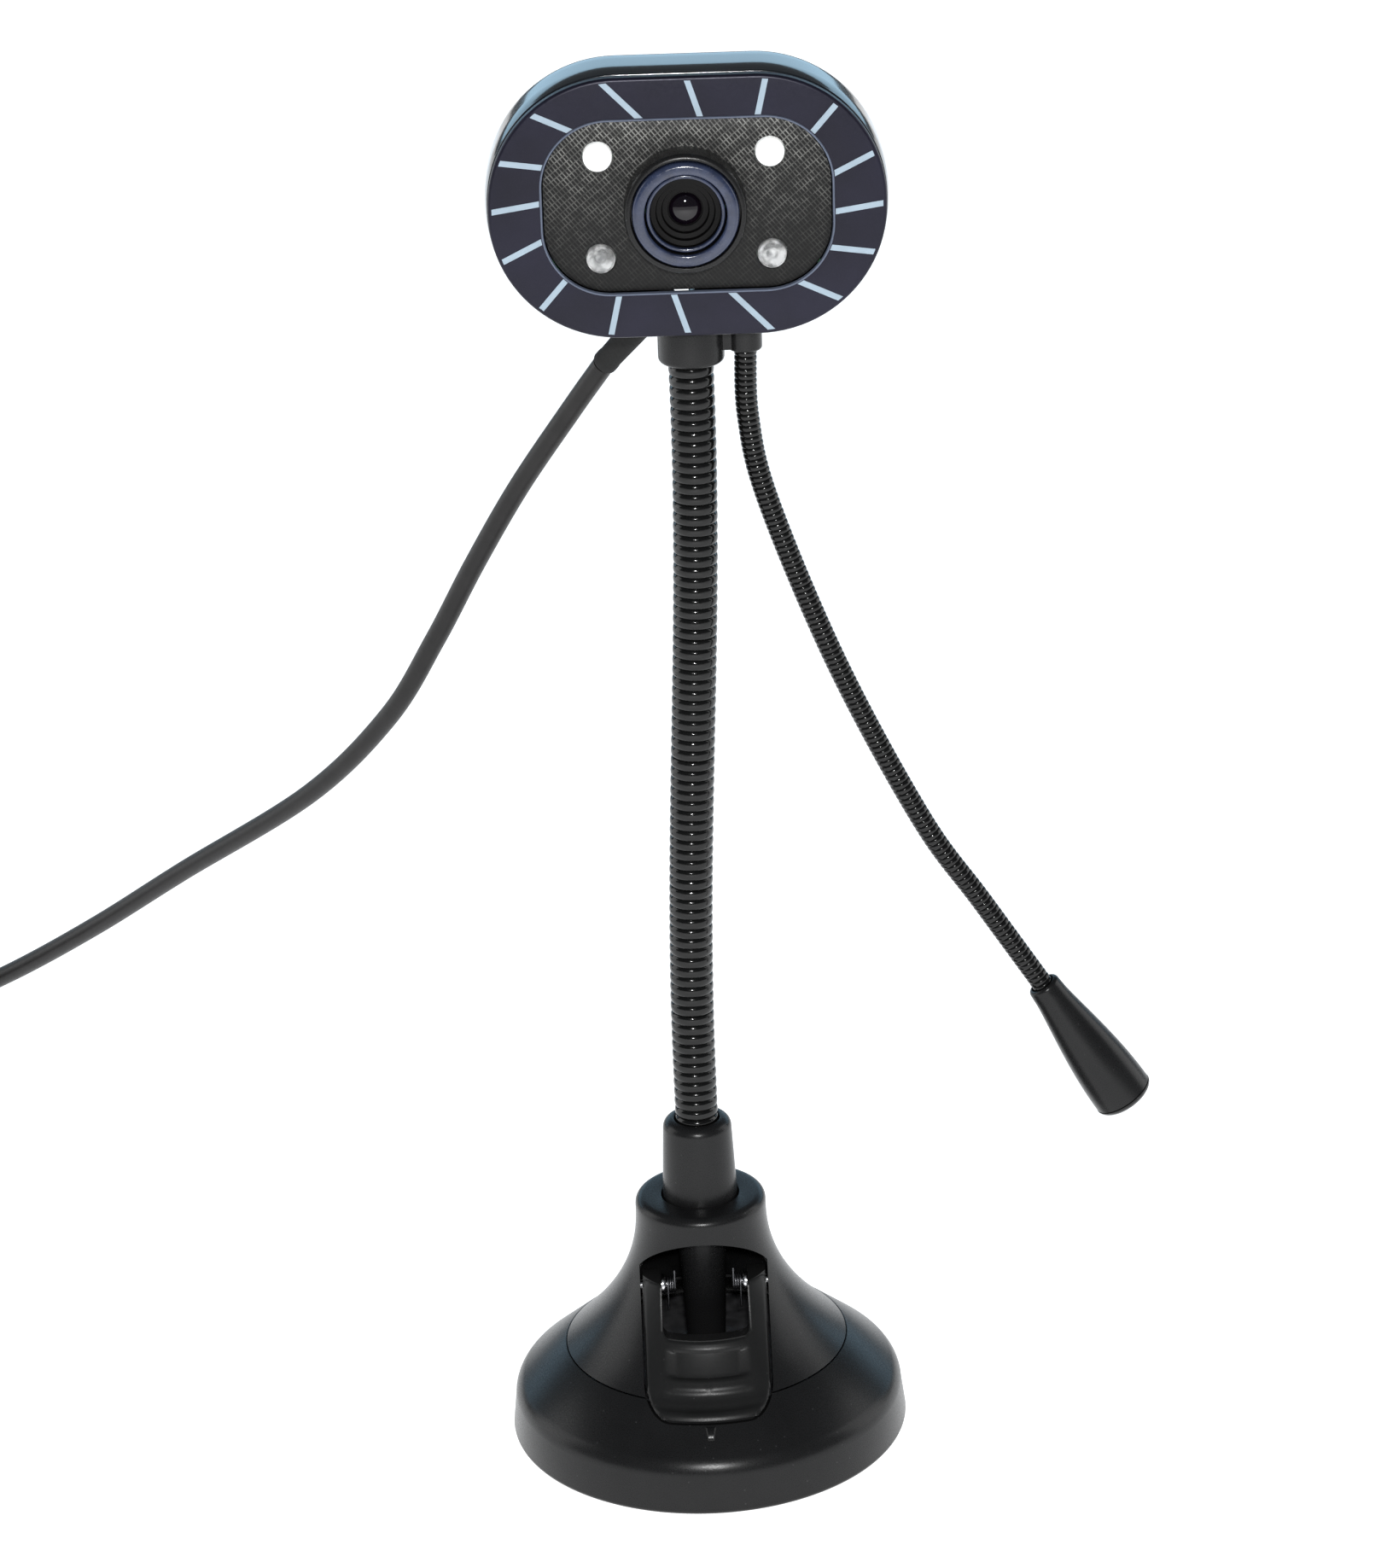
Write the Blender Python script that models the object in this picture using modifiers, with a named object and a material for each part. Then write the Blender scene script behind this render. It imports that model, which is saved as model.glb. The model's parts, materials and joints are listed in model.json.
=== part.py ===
"""Gooseneck webcam with a microphone boom, on a round weighted base with a spring clip.

Units are metres, +Z is up, the lens looks along -Y, and the origin is the centre of the
underside of the base, on the surface that the base stands on.
"""
import math

import bmesh
import bpy
from mathutils import Matrix, Vector

GAP = 0.0003                 # clearance that neighbouring pieces keep

# Base: an outer ring, a flared bell on it, a steel weight and a plate inside
BASE_R = 0.0373              # outer radius at the foot
RIM_DRAFT = 0.0007           # how much narrower the side wall is at its top
RIM_TOP_Z = 0.0070
FOOT_ARC_R = 0.0010
RING_BOTTOM_Z = 0.0002
SHOULDER_R = 0.0050
SLOPE_DEG = 39.8             # slope of the ring's conical top
SEAM_R = 0.0266              # where the ring meets the bell
WALL = 0.0020                # wall of the ring and of the bell
BELL_TOP_Z = 0.0478
BELL_NECK_R = 0.0122
BELL_FLARE_Z = 0.0450        # the flare starts here and runs down to the seam
BELL_FLARE_POWER = 2.15
BELL_EDGE = 0.0010           # chamfer round its top
BELL_HOLE_R = 0.0076
PAD_R = 0.0335
PAD_TOP_Z = 0.0012
PLATE_R = 0.0342
PLATE_Z = (0.0015, 0.0039)
WEIGHT_R = (0.0072, 0.0272)
WEIGHT_Z = (0.0042, 0.0115)
BASE_SCREW_R = 0.0310        # radius of the circle of base screws
BASE_SCREW_DEG = (90.0, 210.0, 330.0)
BOSS_R = 0.0028
BOSS_Z = (0.0042, 0.0115)
SCREW_R = 0.0011
SCREW_HEAD_R = 0.0026
RIB_HALF = (0.0010, 0.0012, 0.0008)   # short raised rib on the ring below the clip flap
RIB_OFFSET = 0.0046          # from the seam out to the rib's middle

# Neck socket and the column that ties it down to the plate
SOCKET_Z = (0.0456, 0.0634)
SOCKET_R = (0.0070, 0.0062)
SOCKET_ROUND = 0.0018
SOCKET_FLOOR_Z = 0.0500
COLUMN_FLANGE_Z = (0.0434, 0.0453)
COLUMN_FLANGE_R = 0.0092
COLUMN_R = (0.0034, 0.0046)
COLUMN_FOOT_R = 0.0062
COLUMN_FOOT_Z = 0.0080

# Spring clip in the front of the bell
CLIP_HALF_W = 0.01155
CLIP_BOTTOM_Z = 0.0153
CLIP_CORNER_R = 0.0040
CLIP_THICK = 0.0022
CLIP_SLOT_HALF_W = 0.0080
CLIP_SLOT_Z = 0.0262
CLIP_SLOT_CORNER_R = 0.0010
CLIP_CLEARANCE = 0.0004
WINDOW_SPRING_Z = 0.0362
WINDOW_TOP_Z = 0.0428
PIN_Y = -0.0060
PIN_Z = 0.0318
PIN_R = 0.0010
PIN_X = (0.0052, 0.0126)
KNUCKLE_R = 0.0030
SPRING_WIRE_R = 0.00025
SPRING_TURNS = 2
SPRING_SIDES = 8             # points of the wire in one turn
SPRING_X = (0.0054, 0.0070)
SPRING_LEGS = (0.0040, 0.0050)      # lengths of the leg up and the leg down
CLIP_PAD_HALF = (0.0040, 0.0024, 0.0006)
CLIP_PAD_GAP = 0.0014        # from the back of the flap to the middle of its pad

# Flexible neck: tube sections on ball joints
NECK_R = 0.0040
NECK_BALL_R = 0.0030
NECK_RELIEF = 0.0020
NECK_FIRST_Z = 0.0740        # lowest joint
NECK_LAST_Z = 0.1960         # highest joint
NECK_JOINTS = 6
NECK_LEAN = 0.0049           # how far the neck leans to +X from socket to head
NECK_LEAN_Z = (0.0740, 0.2050)
NECK_END_Z = 0.0176          # where the top section ends, above the highest joint

# Head, in its own frame: origin on the highest neck joint, lens towards -Y
HEAD_ROLL_DEG = 0.7
HEAD_Z = 0.0441
HEAD_HALF = (0.03455, 0.0233)
HEAD_CORNER_R = 0.0228       # its ends are nearly half circles
LENS_X = -0.0004             # the lens and its lights sit a little to the left
LENS_Z = 0.0444
FACE_HALF = (0.02465, 0.0150)
FACE_CORNER_R = 0.0115
BEZEL_Y = (-0.0110, -0.0089)
BEZEL_INSET = 0.0006         # how far the bezel's edge lies inside the shell's outline
BEZEL_CHAMFER = 0.0006
SHELL_FRONT_Y = -0.0086
SHELL_BACK_Y = 0.0110
SHELL_WALL = 0.0018
SHELL_OUTSIDE = (            # (y, how far its outline is drawn in), front to back
    (SHELL_FRONT_Y, 0.0004), (SHELL_FRONT_Y + 0.0008, 0), (0.0020, 0), (0.0080, 0.0016), (0.0103, 0.0037),
    (SHELL_BACK_Y, 0.0065),
)
SHELL_INSIDE = (             # the same for its hollow, back to front
    (SHELL_BACK_Y - SHELL_WALL, 0.0070), (0.0070, 0.0034), (0.0010, SHELL_WALL), (SHELL_FRONT_Y, SHELL_WALL),
)
FACE_Y = (-0.0104, -0.0084)
LED_X = 0.0146
LED_Z = 0.0089
LED_R = 0.0025
LED_HOLE_R = 0.0028
HOLDER_R = 0.0104
HOLDER_Y = (-0.0166, -0.0107)
HOLDER_ROUND = 0.0008
HOLDER_TUBE_R = (0.0072, 0.0077)
HOLDER_TUBE_Y = (-0.0156, -0.0052)
RING_SEAT_Y = -0.0132        # floor of the groove that the focus ring turns in
RING_BORE_R = 0.0080
RING_R = 0.0091
RING_LIP_R = 0.0070
RING_LIP_DEPTH = 0.0010
RING_Y = (-0.0172, -0.0135)
RING_ROUND = 0.0010
BARREL_R = 0.0067
BARREL_Y = (-0.0161, -0.0080)
BARREL_DEPTH = 0.0036        # of the cone in front of the glass
GLASS_R = 0.0026
BOARD_HALF = (0.0230, 0.0125)
BOARD_Y = (-0.0046, -0.0034)
SENSOR_HALF = 0.0038
COLLAR_R = 0.0058
COLLAR_Z = (0.0136, 0.0206)
MIC_BOSS_X = 0.0094
MIC_BOSS_R = 0.0030
MIC_BOSS_Z = 0.0155
CASE_SCREW_X = 0.0200
CASE_SCREW_R = 0.0022
CASE_SCREW_Z = (-0.0008, -0.0001)   # from the back of the shell
CASE_RECESS_R = 0.0026
CASE_RECESS_DEPTH = 0.0011

# Microphone boom, joint centres in the XZ plane, top to bottom
BOOM_R = 0.0020
BOOM_BALL_R = 0.0015
BOOM_RELIEF = 0.00125
BOOM_GAP = 0.00025
BOOM_POINTS = ((0.0145, 0.2135), (0.0145, 0.1990), (0.0176, 0.1830), (0.0289, 0.1516), (0.0432, 0.1211))
MIC_TIP = (0.0803, 0.0625)
MIC_LENGTH = 0.0294          # housing and cap
MIC_R = (0.0030, 0.0057)
MIC_CAP_DEPTH = 0.0022
BOOM_IN_MIC = 0.0050
MIC_WALL = 0.0009
MIC_MOUTH_DEPTH = 0.0060
MIC_HOLE_R = 0.0009
CAPSULE_R = 0.0040

# USB cord: tapered sleeve, free route, coil, tail and plug
CORD_R = 0.0020
SLEEVE_START = (0.0011, 0.0099, 0.2186)
SLEEVE_END = (-0.0104, 0.0214, 0.2033)
SLEEVE_R = (0.0026, 0.0021)
CORD_ROUTE = (
    (-0.0106, 0.0216, 0.2030), (-0.0169, 0.0279, 0.1928), (-0.0275, 0.0385, 0.1750),
    (-0.0369, 0.0478, 0.1571), (-0.0458, 0.0568, 0.1388), (-0.0564, 0.0674, 0.1194),
    (-0.0743, 0.0853, 0.0967), (-0.1041, 0.1151, 0.0686), (-0.1260, 0.1360, 0.0480),
    (-0.1480, 0.1550, 0.0295), (-0.1680, 0.1690, 0.0160), (-0.1850, 0.1785, 0.0080),
    (-0.1970, 0.1830, 0.0038), (-0.2090, 0.1842, 0.0022),
)
CORD_STEP = 0.0095           # distance between the tube's points
COIL_CENTRE = (-0.2240, 0.1582)
COIL_R = 0.0220              # middle of the turns
COIL_BAND = 0.0120           # three cords wide and three high
TAIL_ROUTE = (
    (-0.2505, 0.1430, 0.0090), (-0.2506, 0.1370, 0.0075), (-0.2507, 0.1300, 0.0055),
    (-0.2508, 0.1230, 0.0044),
)
PLUG_Y = (0.1224, 0.0984)
PLUG_X = -0.2508
PLUG_HALF = (0.0080, 0.0040)
PLUG_SHELL_HALF = (0.0060, 0.00225)
PLUG_SHELL_LENGTH = 0.0120
TIE_HALF_W = 0.0040
TIE_THICK = 0.0008

parts = None
cutters = None
palette = {}


def clear_scene():
    for obj in list(bpy.data.objects):
        bpy.data.objects.remove(obj, do_unlink=True)


def new_collection(name):
    collection = bpy.data.collections.new(name)
    bpy.context.scene.collection.children.link(collection)
    return collection


def add_material(name, colour, roughness, metallic=0.0):
    material = bpy.data.materials.new(name)
    material.use_nodes = True
    shader = material.node_tree.nodes["Principled BSDF"]
    shader.inputs["Base Color"].default_value = (*colour, 1.0)
    shader.inputs["Roughness"].default_value = roughness
    shader.inputs["Metallic"].default_value = metallic
    material.diffuse_color = (*colour, 1.0)
    palette[name] = material


def add_palette():
    add_material("black_plastic", (0.030, 0.030, 0.031), 0.45)
    add_material("satin_plastic", (0.045, 0.043, 0.070), 0.38)
    add_material("gloss_shell", (0.040, 0.048, 0.060), 0.12)
    add_material("gloss_ring", (0.050, 0.065, 0.120), 0.12)
    add_material("neck_black", (0.015, 0.015, 0.015), 0.40)
    add_material("rubber", (0.020, 0.020, 0.020), 0.80)
    add_material("cord_black", (0.032, 0.028, 0.028), 0.50)
    add_material("steel", (0.60, 0.60, 0.62), 0.25, 1.0)
    add_material("iron", (0.25, 0.25, 0.26), 0.60, 1.0)
    add_material("board_green", (0.02, 0.12, 0.05), 0.50)
    add_material("sensor_grey", (0.10, 0.10, 0.11), 0.30)
    add_material("clear_led", (0.90, 0.92, 0.95), 0.05)
    add_material("lens_glass", (0.05, 0.05, 0.08), 0.02)


def place(obj, material=None, location=(0, 0, 0), turn=None, parent=None, keep=True):
    """Links an object, gives it a place and a material, and smooths its round faces."""
    (parts if keep else cutters).objects.link(obj)
    obj.parent = parent
    obj.location = location
    if turn is not None:
        obj.rotation_mode = "QUATERNION"
        obj.rotation_quaternion = turn
    if material is not None:
        obj.data.materials.append(palette[material])
    if not keep:
        obj.hide_render = True
        obj.display_type = "WIRE"
    if obj.type == "MESH":
        obj.data.shade_smooth()
        obj.data.set_sharp_from_angle(angle=math.radians(35))
    return obj


def mesh_object(name, verts, edges=(), faces=()):
    mesh = bpy.data.meshes.new(name)
    mesh.from_pydata([tuple(v) for v in verts], list(edges), list(faces))
    return bpy.data.objects.new(name, mesh)


def arc(centre, radius, start_deg, end_deg, steps):
    """Points of an arc in a plane, both ends included."""
    angles = [math.radians(start_deg + (end_deg - start_deg) * i / steps) for i in range(steps + 1)]
    return [(centre[0] + radius * math.cos(a), centre[1] + radius * math.sin(a)) for a in angles]


def superellipse(half, power, count):
    """Outline points (x, z) of a rounded oblong."""
    points = []
    for i in range(count):
        a = 2 * math.pi * i / count
        x = math.copysign(abs(math.cos(a)) ** (2 / power), math.cos(a))
        z = math.copysign(abs(math.sin(a)) ** (2 / power), math.sin(a))
        points.append((half[0] * x, half[1] * z))
    return points


def add_turned(name, profile, material=None, steps=24, closed=False, **where):
    """A solid of revolution about its own Z axis; the profile (r, z) runs down its outer side."""
    edges = [(i, i + 1) for i in range(len(profile) - 1)]
    if closed:
        edges.append((len(profile) - 1, 0))
    obj = mesh_object(name, [(r, 0.0, z) for r, z in profile], edges)
    screw = obj.modifiers.new("Turn", "SCREW")
    screw.steps = steps
    screw.render_steps = steps
    screw.use_merge_vertices = True
    screw.merge_threshold = 0.00001
    return place(obj, material, **where)


def add_rod(name, radius, low, high, material=None, steps=16, **where):
    return add_turned(name, [(0, high), (radius, high), (radius, low), (0, low)], material, steps, **where)


def add_box(name, half, material=None, **where):
    """A box about its own origin, from its half sizes."""
    obj = mesh_object(name, [])
    bm = bmesh.new()
    bmesh.ops.create_cube(bm, size=2.0)
    bmesh.ops.scale(bm, vec=half, verts=bm.verts)
    bm.to_mesh(obj.data)
    bm.free()
    return place(obj, material, **where)


def add_loft(name, rings, material=None, loop=False, **where):
    """Rings of equal count joined in order; the ends are capped, or joined when loop is set."""
    count = len(rings[0])
    verts = [p for ring in rings for p in ring]
    faces = []
    for k in range(len(rings) if loop else len(rings) - 1):
        low = k * count
        high = (k + 1) % len(rings) * count
        for i in range(count):
            j = (i + 1) % count
            faces.append((low + i, low + j, high + j, high + i))
    if not loop:
        faces.append(tuple(reversed(range(count))))
        faces.append(tuple((len(rings) - 1) * count + i for i in range(count)))
    obj = mesh_object(name, verts, (), faces)
    bm = bmesh.new()
    bm.from_mesh(obj.data)
    bmesh.ops.recalc_face_normals(bm, faces=bm.faces)
    bm.to_mesh(obj.data)
    bm.free()
    return place(obj, material, **where)


def add_prism(name, outline, near, far, **where):
    """An XZ outline drawn out along Y from near to far."""
    rings = [[(x, y, z) for x, z in outline] for y in (near, far)]
    return add_loft(name, rings, **where)


def add_tube(name, points, radius, material, **where):
    """A round tube through closely spaced points."""
    curve = bpy.data.curves.new(name, "CURVE")
    curve.dimensions = "3D"
    curve.bevel_depth = radius
    curve.bevel_resolution = 2
    curve.use_fill_caps = True
    spline = curve.splines.new("POLY")
    spline.points.add(len(points) - 1)
    for target, point in zip(spline.points, points):
        target.co = (*point, 1.0)
    return place(bpy.data.objects.new(name, curve), material, **where)


def boolean(obj, operation, tools):
    for tool in tools:
        modifier = obj.modifiers.new(tool.name, "BOOLEAN")
        modifier.operation = operation
        modifier.solver = "EXACT"
        modifier.object = tool


def aim(direction):
    """Rotation that turns +Z to a direction."""
    return Vector(direction).to_track_quat("Z", "Y")


def smooth_path(route, step):
    """Points a step apart on the Catmull-Rom curve through a route."""
    knots = [Vector(p) for p in route]
    knots = [2 * knots[0] - knots[1]] + knots + [2 * knots[-1] - knots[-2]]
    fine = []
    for a, b, c, d in zip(knots, knots[1:], knots[2:], knots[3:]):
        for i in range(40):
            t = i / 40
            fine.append(0.5 * (2 * b + (c - a) * t + (2 * a - 5 * b + 4 * c - d) * t * t
                               + (3 * b - 3 * c + d - a) * t ** 3))
    fine.append(knots[-2])
    lengths = [0.0]
    for a, b in zip(fine, fine[1:]):
        lengths.append(lengths[-1] + (b - a).length)
    count = max(2, round(lengths[-1] / step))
    points = []
    index = 0
    for i in range(count + 1):
        target = lengths[-1] * i / count
        while index < len(fine) - 2 and lengths[index + 1] < target:
            index += 1
        share = (target - lengths[index]) / (lengths[index + 1] - lengths[index])
        points.append(fine[index].lerp(fine[index + 1], min(share, 1.0)))
    return points


# ---------------------------------------------------------------- base

def bell_radius(z):
    """Outer radius of the bell at a height."""
    share = max(0.0, (BELL_FLARE_Z - z) / (BELL_FLARE_Z - seam_z()))
    return BELL_NECK_R + (SEAM_R - GAP - BELL_NECK_R) * share ** BELL_FLARE_POWER


def shoulder_centre():
    return (BASE_R - RIM_DRAFT - SHOULDER_R, RIM_TOP_Z)


def seam_z():
    """Height of the seam: the ring's slope is tangent to its shoulder."""
    normal = math.radians(90 - SLOPE_DEG)
    centre = shoulder_centre()
    edge_r = centre[0] + SHOULDER_R * math.cos(normal)
    edge_z = centre[1] + SHOULDER_R * math.sin(normal)
    return edge_z + (edge_r - SEAM_R) * math.tan(math.radians(SLOPE_DEG))


def inward(points, distance):
    """An outer profile path, which runs downwards, moved inwards by a distance."""
    moved = []
    for i, (r, z) in enumerate(points):
        before = points[max(i - 1, 0)]
        after = points[min(i + 1, len(points) - 1)]
        along = Vector((after[0] - before[0], after[1] - before[1])).normalized()
        moved.append((r + along.y * distance, z - along.x * distance))
    return moved


def bell_outline(top, bottom, steps):
    """Outer profile of the bell between two heights, top to bottom."""
    heights = [top + (bottom - top) * i / steps for i in range(steps + 1)]
    return [(bell_radius(z), z) for z in heights]


def slope_point(radius):
    return (radius, seam_z() - (radius - SEAM_R) * math.tan(math.radians(SLOPE_DEG)))


def add_base_ring():
    foot = (BASE_R - FOOT_ARC_R, RING_BOTTOM_Z + FOOT_ARC_R)
    outer = [(SEAM_R, seam_z())]
    outer += arc(shoulder_centre(), SHOULDER_R, 90 - SLOPE_DEG, 0, 4)
    outer += arc(foot, FOOT_ARC_R, 0, -90, 2)
    inner = [(BASE_R - WALL - RIM_DRAFT, RING_BOTTOM_Z)]
    inner += arc(shoulder_centre(), SHOULDER_R - WALL, 0, 90 - SLOPE_DEG, 3)
    normal = math.radians(90 - SLOPE_DEG)
    inner.append((SEAM_R - WALL * math.cos(normal), seam_z() - WALL * math.sin(normal)))
    ring = add_turned("base_ring", outer + inner, "black_plastic", 48, closed=True)
    for i, degrees in enumerate(BASE_SCREW_DEG):
        x = BASE_SCREW_R * math.cos(math.radians(degrees))
        y = BASE_SCREW_R * math.sin(math.radians(degrees))
        boss = add_rod(f"boss_{i + 1}", BOSS_R, *BOSS_Z, steps=12, location=(x, y, 0), keep=False)
        hole = add_rod(f"boss_hole_{i + 1}", SCREW_R + GAP, 0, BOSS_Z[1] - 0.0020, steps=12,
                       location=(x, y, 0), keep=False)
        boolean(ring, "UNION", [boss])
        boolean(ring, "DIFFERENCE", [hole])
    middle = slope_point(SEAM_R + RIB_OFFSET)
    rib = add_box("ring_rib", RIB_HALF, keep=False,
                  location=(0, -middle[0], middle[1]),
                  turn=Matrix.Rotation(math.radians(SLOPE_DEG), 3, "X").to_quaternion())
    return ring, rib


def add_bell():
    outer = [(BELL_HOLE_R, BELL_TOP_Z), (BELL_NECK_R - BELL_EDGE, BELL_TOP_Z),
             (BELL_NECK_R, BELL_TOP_Z - BELL_EDGE)]
    wall = bell_outline(BELL_FLARE_Z, seam_z() + GAP, 6)
    inner = inward(wall, WALL)
    inner[-1] = (inner[-1][0], wall[-1][1])
    inner[0] = (inner[0][0], BELL_TOP_Z - WALL)
    profile = outer + wall + inner[::-1] + [(BELL_HOLE_R, BELL_TOP_Z - WALL)]
    return add_turned("bell_housing", profile, "black_plastic", 36, closed=True)


def clip_outline(grow=0.0):
    """Front view of the flap's plate and arms, or of the window that it sits in when grown."""
    half = CLIP_HALF_W + grow
    low = CLIP_BOTTOM_Z - grow
    r = CLIP_CORNER_R + grow
    left = [(-x, z) for x, z in reversed(arc((half - r, low + r), r, -90, 0, 4))]
    right = arc((half - r, low + r), r, -90, 0, 4)
    if grow:
        rise = WINDOW_TOP_Z - WINDOW_SPRING_Z
        radius = (half ** 2 + rise ** 2) / (2 * rise)
        span = math.degrees(math.asin(half / radius))
        return left + right + arc((0, WINDOW_TOP_Z - radius), radius, 90 - span, 90 + span, 8)
    s = CLIP_SLOT_CORNER_R
    centre = (CLIP_SLOT_HALF_W - s, CLIP_SLOT_Z + s)
    slot_right = arc(centre, s, 0, -90, 3)
    slot_left = [(-x, z) for x, z in reversed(slot_right)]
    top = [(half, PIN_Z), (CLIP_SLOT_HALF_W, PIN_Z)]
    return left + right + top + slot_right + slot_left + [(-CLIP_SLOT_HALF_W, PIN_Z), (-half, PIN_Z)]


def turn_to_x():
    return Matrix.Rotation(math.radians(90), 3, "Y").to_quaternion()


def add_clip(ring, rib, bell):
    """The hinged flap, its pins and springs, and the window cut for it in the bell and the ring."""
    window = add_prism("clip_window", clip_outline(CLIP_CLEARANCE), -0.0450, -0.0030, keep=False)
    boolean(ring, "DIFFERENCE", [window])
    boolean(ring, "UNION", [rib])
    boolean(bell, "DIFFERENCE", [window])

    skin = bell_outline(PIN_Z + 0.0030, seam_z(), 4)
    skin.append(slope_point(SEAM_R + 0.0060))
    flap = add_turned("clip_flap", skin + inward(skin, CLIP_THICK)[::-1], "black_plastic", 48, closed=True)
    outline = add_prism("clip_shape", clip_outline(), -0.0450, -0.0010, keep=False)
    boolean(flap, "INTERSECT", [outline])
    for side, sign in (("left", -1), ("right", 1)):
        where = {"location": (0, PIN_Y, PIN_Z), "turn": turn_to_x(), "keep": False}
        span = sorted((sign * CLIP_SLOT_HALF_W, sign * CLIP_HALF_W))
        boolean(flap, "UNION", [add_rod(f"knuckle_{side}", KNUCKLE_R, *span, steps=20, **where)])
        span = sorted((sign * (CLIP_SLOT_HALF_W - 0.001), sign * (PIN_X[1] + GAP)))
        hole = add_rod(f"pin_hole_{side}", PIN_R + GAP, *span, steps=16, **where)
        boolean(flap, "DIFFERENCE", [hole])
        boolean(bell, "DIFFERENCE", [hole])
        span = sorted((sign * PIN_X[0], sign * PIN_X[1]))
        add_rod(f"clip_pin_{side}", PIN_R, *span, "steel", 12, location=(0, PIN_Y, PIN_Z), turn=turn_to_x())
        add_clip_spring(f"clip_spring_{side}", sign)
    normal = math.radians(90 - SLOPE_DEG)
    depth = CLIP_THICK + CLIP_PAD_GAP
    pad = (-(SEAM_R - depth * math.cos(normal)), seam_z() - depth * math.sin(normal))
    add_box("clip_pad", CLIP_PAD_HALF, "rubber", location=(0, *pad),
            turn=Matrix.Rotation(math.radians(SLOPE_DEG), 3, "X").to_quaternion())


def add_clip_spring(name, sign):
    """A torsion spring round a hinge pin, with one leg down behind the flap and one leg back."""
    radius = PIN_R + GAP + SPRING_WIRE_R
    wire = []
    turns = SPRING_TURNS * SPRING_SIDES
    for i in range(turns + 1):
        a = 2 * math.pi * i / SPRING_SIDES
        x = sign * (SPRING_X[0] + (SPRING_X[1] - SPRING_X[0]) * i / turns)
        wire.append((x, PIN_Y - radius * math.cos(a), PIN_Z - radius * math.sin(a)))
    wire.insert(0, (sign * SPRING_X[0], PIN_Y - radius, PIN_Z + SPRING_LEGS[0]))
    wire.append((sign * SPRING_X[1], PIN_Y - radius, PIN_Z - SPRING_LEGS[1]))
    add_tube(name, wire, SPRING_WIRE_R, "steel")


def add_base_inside():
    add_rod("base_pad", PAD_R, 0.0, PAD_TOP_Z, "rubber", 40)
    plate = add_rod("base_plate", PLATE_R, *PLATE_Z, "black_plastic", 40)
    add_turned("base_weight", [(WEIGHT_R[0], WEIGHT_Z[1]), (WEIGHT_R[1], WEIGHT_Z[1]),
                               (WEIGHT_R[1], WEIGHT_Z[0]), (WEIGHT_R[0], WEIGHT_Z[0])],
               "iron", 40, closed=True)
    spots = [(0.0, 0.0)]
    for degrees in BASE_SCREW_DEG:
        a = math.radians(degrees)
        spots.append((BASE_SCREW_R * math.cos(a), BASE_SCREW_R * math.sin(a)))
    names = ["neck_screw", "base_screw_1", "base_screw_2", "base_screw_3"]
    head_z = (PLATE_Z[0] + 0.0001, PLATE_Z[0] + 0.0011)
    for name, (x, y) in zip(names, spots):
        through = add_rod(f"{name}_hole", SCREW_R + GAP, 0.0, 0.0060, steps=12,
                          location=(x, y, 0), keep=False)
        sink = add_rod(f"{name}_sink", SCREW_HEAD_R + GAP, 0.0, head_z[1] + GAP, steps=16,
                       location=(x, y, 0), keep=False)
        boolean(plate, "DIFFERENCE", [through, sink])
        profile = [(0, BOSS_Z[1] - 0.0024), (SCREW_R, BOSS_Z[1] - 0.0024), (SCREW_R, head_z[1]),
                   (SCREW_HEAD_R, head_z[1]), (SCREW_HEAD_R, head_z[0]), (0, head_z[0])]
        add_turned(name, profile, "steel", 12, location=(x, y, 0))


def add_column_and_socket():
    low = WEIGHT_Z[0]
    column = [(0, COLUMN_FLANGE_Z[1]), (COLUMN_FLANGE_R, COLUMN_FLANGE_Z[1]),
              (COLUMN_FLANGE_R, COLUMN_FLANGE_Z[0]), (COLUMN_R[1], COLUMN_FLANGE_Z[0]),
              (COLUMN_R[0], WEIGHT_Z[1]), (COLUMN_R[0], COLUMN_FOOT_Z), (COLUMN_FOOT_R, COLUMN_FOOT_Z),
              (COLUMN_FOOT_R, low), (SCREW_R + GAP, low), (SCREW_R + GAP, BOSS_Z[1] - 0.0020),
              (0, BOSS_Z[1] - 0.0020)]
    add_turned("neck_column", column, "black_plastic", 24)
    bore = NECK_R + GAP
    profile = [(0, SOCKET_FLOOR_Z), (bore, SOCKET_FLOOR_Z), (bore, SOCKET_Z[1])]
    profile += arc((SOCKET_R[1] - SOCKET_ROUND, SOCKET_Z[1] - SOCKET_ROUND), SOCKET_ROUND, 90, 0, 4)
    profile += [(SOCKET_R[0], SOCKET_Z[0] + 0.0020), (SOCKET_R[0], SOCKET_Z[0]), (0, SOCKET_Z[0])]
    add_turned("neck_socket", profile, "black_plastic", 28)


# ---------------------------------------------------------------- neck and boom

def link_profile(length, tube_r, ball_r, gap, relief, cup, ball):
    """A tube section along +Z from its lower joint, with a cup below and a ball on top."""
    if ball:
        low = math.degrees(math.asin(-relief / ball_r))
        points = arc((0, length), ball_r, 90, low, 5)
        points[0] = (0, length + ball_r)
        points.append((tube_r, length - relief))
    else:
        points = [(0, length), (tube_r, length)]
    if cup:
        points.append((tube_r, -gap))
        low = math.degrees(math.asin(-gap / (ball_r + gap)))
        points += arc((0, 0), ball_r + gap, low, 90, 4)
        points[-1] = (0, ball_r + gap)
    else:
        points += [(tube_r, 0), (0, 0)]
    return points


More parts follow.
